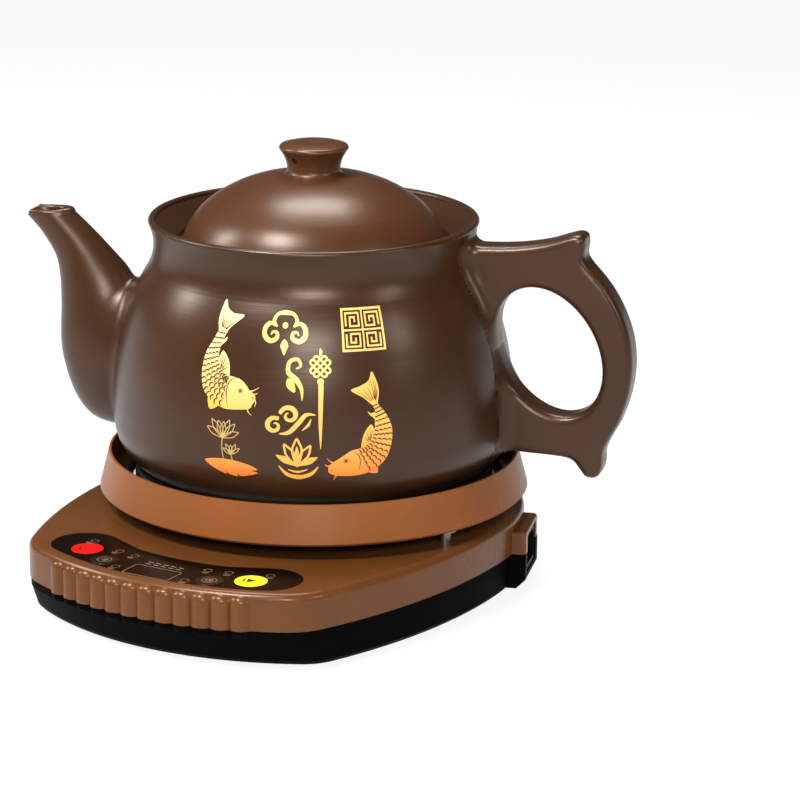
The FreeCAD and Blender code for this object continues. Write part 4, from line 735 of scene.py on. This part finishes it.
class Artwork:
    """A drawing in millimetres of filled outlines and strokes, made into one thin piece per call of ink()."""

    def __init__(self, place, lift=PRINT_LIFT, cell=3.0):
        self.place = place
        self.lift = lift
        self.cell = cell
        self.shapes = []

    def fill(self, outline, rounded=True, per_span=5):
        points = closed_curve(outline, per_span) if rounded else list(outline)
        triangles = tessellate_polygon([[Vector((x, y, 0)) for x, y in points]])
        self.shapes.append((points, [tuple(face) for face in triangles]))

    def disc(self, x, y, radius, inner=0, steps=28):
        turns = [2 * math.pi * step / steps for step in range(steps)]
        ring = [(x + radius * math.cos(a), y + radius * math.sin(a)) for a in turns]
        if not inner:
            self.shapes.append((ring, [tuple(range(steps))]))
            return
        ring += [(x + inner * math.cos(a), y + inner * math.sin(a)) for a in turns]
        faces = [(a, (a + 1) % steps, steps + (a + 1) % steps, steps + a) for a in range(steps)]
        self.shapes.append((ring, faces))

    def stroke(self, points, widths, rounded=True, per_span=7, closed=False):
        """A band along the points whose width is read evenly along it."""
        if rounded:
            line = closed_curve(points, per_span) if closed else open_curve(points, per_span)
        else:
            line = [tuple(point) for point in points]
        count = len(line)
        edges = []
        for index, (x, y) in enumerate(line):
            before = line[index - 1] if index or closed else line[index]
            after = line[(index + 1) % count] if index < count - 1 or closed else line[index]
            ways = []
            for (ax, ay), (bx, by) in ((before, (x, y)), ((x, y), after)):
                long = math.hypot(bx - ax, by - ay)
                if long > 1e-6:
                    ways.append(((bx - ax) / long, (by - ay) / long))
            nx = -sum(way[1] for way in ways) / len(ways)
            ny = sum(way[0] for way in ways) / len(ways)
            square = max(0.3, nx * nx + ny * ny)
            share = index / (count if closed else count - 1) * (len(widths) - 1)
            step = min(int(share), len(widths) - 2) if len(widths) > 1 else 0
            wide = widths[step] + (widths[min(step + 1, len(widths) - 1)] - widths[step]) * (share - step)
            edges.append(((x, y), (nx / square * wide / 2, ny / square * wide / 2)))
        band = [(x + side * dx, y + side * dy) for side in (1, -1) for (x, y), (dx, dy) in edges]
        last = count if closed else count - 1
        faces = [(a, (a + 1) % count, count + (a + 1) % count, count + a) for a in range(last)]
        self.shapes.append((band, faces))

    def ink(self, name, finish, slot, body):
        """Cuts the shapes into small cells, so that they follow the surface, and makes the piece."""
        form = bmesh.new()
        level = self.lift
        for points, faces in self.shapes:
            verts = [form.verts.new((x, y, level)) for x, y in points]
            for face in faces:
                form.faces.new([verts[index] for index in face])
            level += SHAPE_STEP
        for axis in (0, 1):
            values = [vert.co[axis] for vert in form.verts]
            mark = math.floor(min(values) / self.cell) * self.cell + self.cell
            while mark < max(values):
                co, normal = [0, 0, 0], [0, 0, 0]
                co[axis], normal[axis] = mark, 1
                geometry = form.verts[:] + form.edges[:] + form.faces[:]
                bmesh.ops.bisect_plane(form, geom=geometry, plane_co=co, plane_no=normal, dist=1e-4)
                mark += self.cell
        for vert in form.verts:
            vert.co = self.place(*vert.co)
        form.normal_update()
        outward = self.place(0, 0, 1) - self.place(0, 0, 0)
        for face in form.faces:
            if face.normal.dot(outward) < 0:
                face.normal_flip()
        mesh = bpy.data.meshes.new(name)
        form.to_mesh(mesh)
        form.free()
        new_piece(name, mesh, slot, body, finish)


def between(points, share):
    """A point of an open run of points; share runs from 0 to 1."""
    return through(points, share * (len(points) - 1))


# the two carps: points marked by eye on an enlarged view of the photograph's print, and turned into
# millimetres on the pot by a separate script
CARP_LEFT = {
    "body": [
        (-10.8, 11.9), (-13.2, 6.9), (-16.3, 0.9), (-17.4, -5.5), (-17.1, -11.8), (-15.6, -17.2),
        (-12.5, -21.0), (-7.8, -24.1), (-2.6, -26.0), (4.1, -25.8), (10.0, -24.8), (11.6, -22.5),
        (13.0, -19.3), (12.0, -17.3), (9.9, -15.7), (7.5, -12.7), (4.3, -10.4), (0.6, -9.6),
        (-2.2, -9.0), (-6.2, -6.1), (-8.3, -2.2), (-8.6, 2.3), (-7.6, 6.8), (-6.4, 10.7), (-8.5, 12.4),
    ],
    "tail": [
        (-10.2, 10.9), (-11.5, 13.8), (-12.3, 17.4), (-11.9, 22.4), (-10.5, 26.7), (-8.0, 22.8),
        (-3.7, 20.7), (2.6, 20.3), (-1.0, 16.7), (-4.6, 13.5), (-6.5, 10.5),
    ],
    "dorsal": [
        (-8.2, -4.3), (-8.6, -1.5), (-7.6, 0.7), (-6.5, 2.5), (-4.0, 0.4), (-2.1, -3.5), (-1.5, -9.8),
        (-4.7, -7.7),
    ],
    "small": [
        (-8.4, 5.0), (-8.5, 7.3), (-6.6, 8.1), (-5.1, 9.3), (-5.3, 7.6), (-7.1, 5.7), (-8.8, 4.0),
    ],
    "pelvic": [
        (-12.2, -21.4), (-8.8, -22.1), (-6.0, -23.8), (-7.8, -26.2), (-10.6, -27.1), (-11.8, -25.2),
    ],
    "left": [
        (-10.7, 11.7), (-13.5, 6.5), (-16.3, 0.6), (-17.3, -5.5), (-17.1, -11.8), (-15.5, -17.6),
        (-12.0, -21.7), (-7.0, -24.6), (-1.3, -25.4),
    ],
    "right": [
        (-6.6, 11.0), (-7.6, 6.8), (-8.6, 2.3), (-8.3, -2.2), (-6.7, -5.8), (-4.2, -8.3), (-2.1, -9.5),
        (-0.9, -10.1), (-0.1, -10.5),
    ],
    "gill": [
        (3.3, -9.9), (-0.2, -11.2), (-2.0, -14.7), (-2.2, -19.7), (-1.0, -25.1),
    ],
    "tail_root": (-8.4, 11.2),
    "tail_ends": [
        (-11.9, 21.0), (-11.2, 23.4), (-9.4, 21.8), (-7.2, 20.6), (-4.6, 19.8), (-1.6, 19.2),
        (-1.2, 17.8),
    ],
    "fin_root": (-6.4, -7.6),
    "fin_ends": [
        (-7.6, -0.6), (-6.4, 0.8), (-4.8, 0.0), (-3.4, -2.6), (-2.6, -5.0),
    ],
    "eye": (5.1, -16.3),
    "barbels": [
        [(10.2, -16.1), (12.4, -15.3), (14.6, -13.8)],
        [(9.1, -24.7), (9.7, -26.6), (11.4, -28.2)],
        [(12.6, -20.0), (13.3, -21.7), (12.7, -23.7)],
        [(10.8, -17.0), (12.6, -17.4), (14.0, -16.6)],
    ],
    "mouth": [
        (10.4, -18.9), (11.6, -19.2), (12.6, -19.9),
    ],
}
CARP_RIGHT = {
    "body": [
        (7.8, 12.5), (8.8, 8.9), (8.5, 4.7), (8.0, -1.1), (6.8, -4.6), (4.5, -7.4), (1.2, -9.3),
        (-3.2, -10.5), (-6.6, -12.7), (-10.6, -15.4), (-13.3, -17.4), (-14.3, -19.6), (-13.8, -21.8),
        (-10.5, -23.3), (-4.4, -23.8), (1.0, -23.5), (5.1, -22.4), (9.3, -20.0), (13.4, -16.4),
        (16.0, -10.6), (17.2, -3.4), (16.5, 2.4), (14.1, 7.7), (11.3, 11.4), (9.9, 13.2),
    ],
    "tail": [
        (7.7, 12.2), (3.0, 16.4), (-2.9, 20.2), (1.8, 22.2), (6.1, 24.6), (8.0, 28.9), (9.8, 25.7),
        (11.0, 21.4), (11.0, 17.2), (9.9, 12.7),
    ],
    "dorsal": [
        (1.7, -9.6), (2.2, -4.4), (4.1, 0.0), (6.7, 2.5), (8.1, -1.1), (7.1, -4.9), (4.7, -7.9),
    ],
    "small": [
        (8.8, 8.6), (6.7, 8.2), (5.0, 9.3), (5.9, 7.7), (7.3, 6.3), (8.7, 5.3),
    ],
    "pelvic": [
        (4.5, -21.6), (6.2, -22.8), (9.4, -23.2), (9.8, -20.8), (8.7, -19.1),
    ],
    "left": [
        (9.9, 12.7), (12.2, 10.4), (14.8, 6.6), (16.6, 1.0), (17.0, -4.8), (15.6, -11.3), (12.4, -16.7),
        (7.9, -20.4), (1.4, -23.2),
    ],
    "right": [
        (7.9, 12.2), (8.8, 8.9), (8.6, 4.6), (8.1, -0.4), (7.0, -4.2), (5.1, -7.2), (2.8, -9.0),
        (0.4, -9.9), (-1.7, -10.7),
    ],
    "gill": [
        (-2.6, -11.1), (0.2, -12.9), (1.1, -16.5), (0.6, -20.5),
    ],
    "tail_root": (8.9, 13.0),
    "tail_ends": [
        (0.0, 19.6), (2.6, 20.8), (5.0, 21.8), (7.0, 24.4), (8.4, 25.6), (9.6, 22.8), (10.2, 20.0),
    ],
    "fin_root": (5.6, -7.0),
    "fin_ends": [
        (2.9, -3.4), (4.2, -1.2), (5.8, 0.6), (7.0, -0.6),
    ],
    "eye": (-5.9, -15.7),
    "barbels": [
        [(-11.9, -16.1), (-13.3, -15.8), (-14.9, -14.1)],
        [(-10.4, -23.3), (-11.2, -24.6), (-11.8, -25.8)],
        [(-13.6, -18.0), (-14.9, -18.2), (-15.8, -17.2)],
    ],
    "mouth": [
        (-13.9, -20.5), (-12.9, -20.3), (-12.0, -20.9),
    ],
}
SCALE_ROWS = 15
SCALE_COLUMNS = 4


def draw_carp(name, place, marks, ink, fin):
    """A carp: its body and fins, one fin of another colour, and dark lines with rows of scales."""
    art = Artwork(place)
    for part in ("body", "tail", "dorsal", "small"):
        art.fill(marks[part])
    for line in marks["barbels"]:
        art.stroke(line, (0.75, 0.45, 0.2))
    art.ink(name, ink, "stoneware", "pot")
    low_fin = Artwork(place, FIN_LIFT)
    low_fin.fill(marks["pelvic"])
    low_fin.ink(name + "_fin", fin, "stoneware", "pot")
    dark = Artwork(place, LINE_LIFT)
    dark.stroke(marks["gill"], (0.15, 0.42, 0.42, 0.15))
    dark.stroke(marks["mouth"], (0.12, 0.38, 0.12))
    x, y = marks["eye"]
    dark.disc(x, y, 0.62, 0)
    dark.disc(x, y, 1.22, 0.98)
    for root, ends in (("tail_root", "tail_ends"), ("fin_root", "fin_ends")):
        rx, ry = marks[root]
        for ex, ey in marks[ends]:
            start = (rx + (ex - rx) * 0.22, ry + (ey - ry) * 0.22)
            bend = (rx + (ex - rx) * 0.6 + (ey - ry) * 0.03, ry + (ey - ry) * 0.6)
            dark.stroke([start, bend, (ex, ey)], (0.34, 0.30, 0.10), per_span=4)
    for row in range(SCALE_ROWS):
        share = 0.03 + 0.90 * row / (SCALE_ROWS - 1)
        columns = SCALE_COLUMNS + row % 2
        for column in range(columns):
            across = (column + 0.5) / columns
            near, far = between(marks["left"], share), between(marks["right"], share)
            next_near, next_far = (between(marks[side], share + 0.02) for side in ("left", "right"))
            here = [a + (b - a) * across for a, b in zip(near, far)]
            ahead = [a + (b - a) * across for a, b in zip(next_near, next_far)]
            back = math.atan2(here[1] - ahead[1], here[0] - ahead[0])
            size = 0.46 * math.hypot(far[0] - near[0], far[1] - near[1]) / SCALE_COLUMNS
            arc = [
                (here[0] + size * math.cos(back + turn), here[1] + size * math.sin(back + turn))
                for turn in (-1.25, -0.65, 0, 0.65, 1.25)
            ]
            dark.stroke(arc, (0.12, 0.55, 0.62, 0.55, 0.12), per_span=3)
    dark.ink(name + "_lines", "print_dark", "stoneware", "pot")


def petal(base, tip, half):
    """A pointed oval from base to tip."""
    (bx, by), (tx, ty) = base, tip
    dx, dy = tx - bx, ty - by
    long = math.hypot(dx, dy)
    nx, ny = -dy / long * half, dx / long * half
    right = [(bx + dx * s + nx * w, by + dy * s + ny * w) for s, w in ((0.3, 0.7), (0.6, 1), (0.85, 0.5))]
    left = [(bx + dx * s - nx * w, by + dy * s - ny * w) for s, w in ((0.85, 0.5), (0.6, 1), (0.3, 0.7))]
    return [base, *right, tip, *left]


# the two lotus flowers and the leaf: their points come from the photograph in the same way as the carps'
LOTUS_BASE = (-3.3, 6.0)
LOTUS_TIPS = [(-11.5, 10.9), (-9.2, 15.0), (-5.7, 14.5), (-2.8, 14.2), (0.2, 15.3), (3.0, 13.5), (5.0, 9.4)]
SMALL_BASE = (1.2, -2.3)
SMALL_TIPS = [(-2.8, 0.5), (-1.5, 2.8), (1.0, 2.5), (3.6, 3.2), (5.5, 1.2)]
LOTUS_STEMS = [[(-3.3, 6.0), (-3.6, 1.2), (-2.7, -6.0)], [(1.2, -2.3), (1.7, -4.0), (2.1, -5.9)]]
LOTUS_LEAF = [
    (-12.7, -6.9), (-8.0, -5.5), (-0.4, -5.1), (6.8, -6.1), (11.7, -7.5), (14.5, -9.3), (11.1, -10.0),
    (14.8, -10.9), (11.5, -12.3), (6.4, -13.5), (4.2, -12.2), (4.5, -13.7), (0.5, -13.2), (-1.8, -11.5),
    (-1.5, -13.1), (-6.0, -11.4), (-9.7, -9.6),
]


def draw_lotus():
    """A large and a small lotus flower on their stems above a leaf."""
    place = on_pot(*LOTUS_PLACE)
    art = Artwork(place)
    for base, tips, half in ((LOTUS_BASE, LOTUS_TIPS, 1.5), (SMALL_BASE, SMALL_TIPS, 0.8)):
        for tip in tips:
            art.stroke(petal(base, tip, half), (0.42, 0.42), closed=True, per_span=4)
    for stem in LOTUS_STEMS:
        art.stroke(stem, (0.5, 0.42, 0.5))
    art.ink("lotus_flowers", "print_lotus", "stoneware", "pot")
    leaf = Artwork(place)
    leaf.fill(LOTUS_LEAF, per_span=4)
    leaf.ink("lotus_leaf", "print_orange", "stoneware", "pot")


SCROLL_STEPS = 9


def scroll(x, y, first, last, start, sweep):
    """Points of a spiral about (x, y), from one radius to another."""
    points = []
    for step in range(SCROLL_STEPS + 1):
        share = step / SCROLL_STEPS
        radius = first + (last - first) * share
        angle = math.radians(start + sweep * share)
        points.append((x + radius * math.cos(angle), y + radius * math.sin(angle)))
    return points


CORD = (1.05, 1.05)


def draw_column():
    """Five ornaments where four characters stand: cloud head, vine, knot with tassel, cloud, lotus."""
    art = Artwork(on_pot(*COLUMN_PLACE))
    x, y, size = -5.0, 30.6, 10.2
    for side in (-1, 1):
        lobe = [(0, 1.0), (0.42, 0.93), (0.62, 0.62), (0.44, 0.36)]
        curl = [
            (0.44, 0.36), (0.8, 0.5), (1.06, 0.26), (1.04, -0.1), (0.74, -0.32), (0.42, -0.18), (0.42, 0.06),
            (0.64, 0.1), (0.72, -0.04),
        ]
        art.stroke([(x + side * u * size, y + v * size) for u, v in lobe], (2.3, 1.5, 2.0, 0.9))
        art.stroke([(x + side * u * size, y + v * size) for u, v in curl], (0.8, 2.4, 2.6, 2.2, 1.5, 0.6))
    drop = [(0, -0.22), (0.2, -0.5), (0.12, -0.74), (0, -0.98), (-0.12, -0.74), (-0.2, -0.5)]
    art.fill([(x + u * size, y + v * size) for u, v in drop])
    art.disc(x, y + 0.42 * size, 1.5)
    knot_x, knot_y, pitch, reach = 13.6, 15.4, 2.5, 4.1
    slope = math.sqrt(0.5)
    for step in (-1, 0, 1):
        for way in (-1, 1):
            ends = []
            for end in (-1, 1):
                across, rise = end * reach - way * step * pitch, end * way * reach + step * pitch
                ends.append((knot_x + across * slope, knot_y + rise * slope))
            art.stroke(ends, CORD, False)
    for turn in (45, 135, 225, 315):
        angle = math.radians(turn)
        side_x, side_y = -math.sin(angle), math.cos(angle)
        for offset in (-0.5, 0.5):
            middle_x = knot_x + reach * math.cos(angle) + offset * pitch * side_x
            middle_y = knot_y + reach * math.sin(angle) + offset * pitch * side_y
            art.stroke(scroll(middle_x, middle_y, pitch / 2, pitch / 2, turn - 90, 180), CORD)
    art.stroke([(13.6, 9.4), (13.8, 4), (13.5, -10), (13.5, -26.2)], (1.0, 2.6, 2.3, 1.8, 0.25))
    art.disc(13.6, 8.0, 1.7)
    art.stroke([(13.6, 24.2), (13.9, 22.4), (13.6, 20.6)], (0.5, 1.6, 0.9))
    vine = [
        (4.6, -1.4), (4.2, 4.5), (1.4, 9.0), (-2.4, 12.6), (-1.8, 17.6), (2.2, 18.8), (3.7, 15.8),
        (1.4, 14.2),
    ]
    art.stroke(vine, (0.3, 1.9, 2.8, 2.3, 1.9, 1.7, 1.3, 0.5))
    art.fill([(-2.4, 9.6), (0.4, 7.8), (1.2, 2.8), (-1.4, 3.6), (-3.4, 6.4)])
    art.stroke(scroll(-8.6, -14.4, 4.3, 1.0, 60, 420), (1.9, 2.5, 2.0, 1.4, 0.5))
    art.stroke(scroll(-1.6, -9.0, 4.6, 1.1, 170, -430), (1.9, 2.6, 2.0, 1.4, 0.5))
    wisp = [(-6.3, -18.6), (-1.6, -17.6), (2.8, -13.0), (6.6, -8.6), (11.2, -8.6)]
    art.stroke(wisp, (0.4, 2.2, 2.4, 2.0, 0.3))
    art.stroke([(4.6, -16.6), (7.6, -13.8), (9.0, -10.6)], (0.3, 1.5, 0.3))
    base = (2.4, -35.0)
    for tip, half in (((2.2, -21.0), 2.3), ((-3.8, -24.0), 1.8), ((8.6, -24.4), 1.8)):
        art.stroke(petal(base, tip, half), (0.95, 1.15), closed=True, per_span=4)
    for tip, half in (((-7.8, -29.6), 1.7), ((12.2, -30.4), 1.7)):
        art.fill(petal(base, tip, half))
    art.fill(petal((2.3, -33.0), (2.2, -24.6), 1.0))
    water = [(-6.4, -35.2), (-2.4, -39.6), (3.4, -41.0), (9.0, -39.2), (12.4, -35.4)]
    art.stroke(water, (0.4, 1.9, 2.4, 1.9, 0.4))
    art.stroke([(-2.0, -37.0), (2.6, -38.2), (7.4, -36.8)], (0.4, 1.3, 0.4))
    art.ink("column_ornament", "print_gold", "stoneware", "pot")


MEANDER = [(-1, -1), (-1, 1), (1, 1), (1, -1), (-0.36, -1), (-0.36, 0.36), (0.36, 0.36), (0.36, -0.4)]


def draw_seal():
    """A square of four meanders in a frame."""
    art = Artwork(on_pot(*SEAL_PLACE))
    left, right, low, high = -11.8, 10.4, -10.3, 9.2
    art.stroke([(left, low), (left, high), (right, high), (right, low)], (1.15, 1.15), False, closed=True)
    middle_x, middle_y = (left + right) / 2, (low + high) / 2
    art.stroke([(middle_x, low), (middle_x, high)], (0.9, 0.9), False)
    art.stroke([(left, middle_y), (right, middle_y)], (0.9, 0.9), False)
    half_x, half_y = (right - left) / 4 - 1.95, (high - low) / 4 - 1.85
    for side, rise in ((-1, -1), (-1, 1), (1, -1), (1, 1)):
        x, y = middle_x + side * (right - left) / 4, middle_y + rise * (high - low) / 4
        line = [(x - side * u * half_x, y + rise * v * half_y) for u, v in MEANDER]
        art.stroke(line, (0.95, 0.95), False)
    art.ink("seal_ornament", "print_gold", "stoneware", "pot")


foil("print_gold", (0.66, 0.31, 0.045), (0.80, 0.53, 0.15), 82, 172)
foil("print_lotus", (0.42, 0.24, 0.06), (0.50, 0.34, 0.12), 82, 110)
foil("print_pale", (0.74, 0.38, 0.06), (0.86, 0.66, 0.30), 112, 150)
foil("print_sunset", (0.86, 0.19, 0.012), (0.78, 0.44, 0.09), 84, 112)
foil("print_orange", (0.80, 0.13, 0.010), (0.86, 0.22, 0.02), 82, 92, 0.1)
foil("print_fin", (0.90, 0.30, 0.03), (0.93, 0.45, 0.08), 114, 124, 0.1)
paint("print_dark", (0.030, 0.017, 0.010), 0.35, 0.5, peel=0.02)
draw_carp("carp_left", on_pot(*CARP_LEFT_PLACE), CARP_LEFT, "print_pale", "print_fin")
draw_carp("carp_right", on_pot(*CARP_RIGHT_PLACE), CARP_RIGHT, "print_sunset", "print_orange")
draw_lotus()
draw_column()
draw_seal()

# ---------------------------------------------------------------- printed marks of the panel


def extent(node):
    """The lowest and highest corner of a node, in millimetres."""
    points = [vert.co / MM for vert in nodes[node].data.vertices]
    return [[pick(point[axis] for point in points) for axis in range(3)] for pick in (min, max)]


def on_top_of(node):
    """The middle of a node's top, turned to face out from the heater's axis."""
    low, high = extent(node)
    x, y = (low[0] + high[0]) / 2, (low[1] + high[1]) / 2
    return x, y, high[2], math.degrees(math.atan2(y, x)) + 90


PANEL_LIFT = 0.05
FLAT_CELL = 400
STOP_TURNS = (0.7, 1.5, 2.3, 3.14, 3.98, 4.78, 5.58)
LAMPS = 8
FRAME_GROW = 1.2
FRAME_WIDE = (0.35, 0.35)


def symbol(art, kind, size):
    """A plain sign of what a key does."""
    thin = 0.26 * size
    if kind == "stop":
        art.stroke([(size * math.sin(a), size * math.cos(a)) for a in STOP_TURNS], (thin, thin))
        art.stroke([(0, 0.15 * size), (0, 1.15 * size)], (thin, thin), False)
    elif kind == "start":
        art.fill([(-0.55 * size, -0.8 * size), (0.9 * size, 0), (-0.55 * size, 0.8 * size)], False)
        art.stroke([(-1.0 * size, -0.8 * size), (-1.0 * size, 0.8 * size)], (thin, thin), False)
    elif kind == "timer":
        art.disc(0, 0, size, size - thin)
        art.stroke([(0, 0.62 * size), (0, 0), (0.45 * size, -0.25 * size)], (thin, thin), False)
    else:
        for row in (-1, 0, 1):
            y = row * 0.62 * size
            art.stroke([(-0.25 * size, y), (0.9 * size, y)], (thin, thin), False)
            art.disc(-0.75 * size, y, 0.14 * size)


def mark_keys():
    """A sign on each key, which rides on it; those of the two outlined keys have a ring."""
    for kind, size, ink, slot in (
        ("stop", 3.9, "key_ink", "key_red"),
        ("start", 3.6, "key_ink", "key_yellow"),
        ("function", 2.2, "panel_ink", "key_black"),
        ("timer", 2.1, "panel_ink", "key_black"),
    ):
        x, y, top, turn = on_top_of(f"key_{kind}")
        art = Artwork(on_plane(x, y, top, turn), PANEL_LIFT, 20)
        symbol(art, kind, size)
        if ink == "panel_ink":
            art.disc(0, 0, 3.9, 3.6, 40)
        art.ink(f"key_{kind}_mark", ink, slot, f"{kind}_key")


def mark_panel():
    """Two lines and a ring at each lamp, a frame round the display and two rows of dashes behind it."""
    level = extent("panel_overlay")[1][2]
    art = Artwork(on_plane(0, 0, level), PANEL_LIFT, FLAT_CELL)
    for index in range(1, LAMPS + 1):
        x, y, _, turn = on_top_of(f"lamp_{index}")
        across, out = math.radians(turn), math.radians(turn - 90)
        side = Vector((math.cos(across), math.sin(across)))
        ahead = Vector((math.cos(out), math.sin(out)))
        for row, half in ((3.4, 2.0), (4.5, 1.4)):
            middle = Vector((x, y)) + ahead * row
            ends = [tuple(middle + side * half * end) for end in (-1, 1)]
            art.stroke(ends, (0.42, 0.42), False)
        art.disc(x, y, 2.2, 1.95, 24)
    low, high = extent("display_module")
    x, y = (low[0] + high[0]) / 2, (low[1] + high[1]) / 2
    half_x, half_y = (high[0] - low[0]) / 2, (high[1] - low[1]) / 2
    a, b, corner = half_x + FRAME_GROW, half_y + FRAME_GROW, FRAME_GROW
    loop = [
        (x - a + corner, y - b), (x + a - corner, y - b), (x + a, y - b + corner), (x + a, y + b - corner),
        (x + a - corner, y + b), (x - a + corner, y + b), (x - a, y + b - corner), (x - a, y - b + corner),
    ]
    art.stroke(loop, FRAME_WIDE, False, closed=True)
    for row in (0, 1):
        for step in range(5):
            place_x = x - 9.2 + step * 4.6
            place_y = y + half_y + 4.2 + row * 2.6
            art.stroke([(place_x - 1.5, place_y), (place_x + 1.5, place_y)], (0.75, 0.75), False)
    art.ink("panel_marks", "panel_ink", "overlay_plastic", "base")


def add_live_spring():
    """The sensor's spring, as a copy in place of the rigid one."""
    mesh = nodes["sensor_spring"].data.copy()
    mesh.materials.clear()
    mesh.materials.append(finishes["spring_steel"])
    piece = bpy.data.objects.new("live_spring", mesh)
    scene.collection.objects.link(piece)
    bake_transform(piece)
    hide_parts("sensor_spring")


paint("panel_ink", (0.24, 0.15, 0.085), 0.35, 0.45, shine=0.3, peel=0.01)
paint("key_ink", (0.022, 0.008, 0.005), 0.35, 0.45, shine=0.2, peel=0.01)
mark_keys()
mark_panel()
add_live_spring()
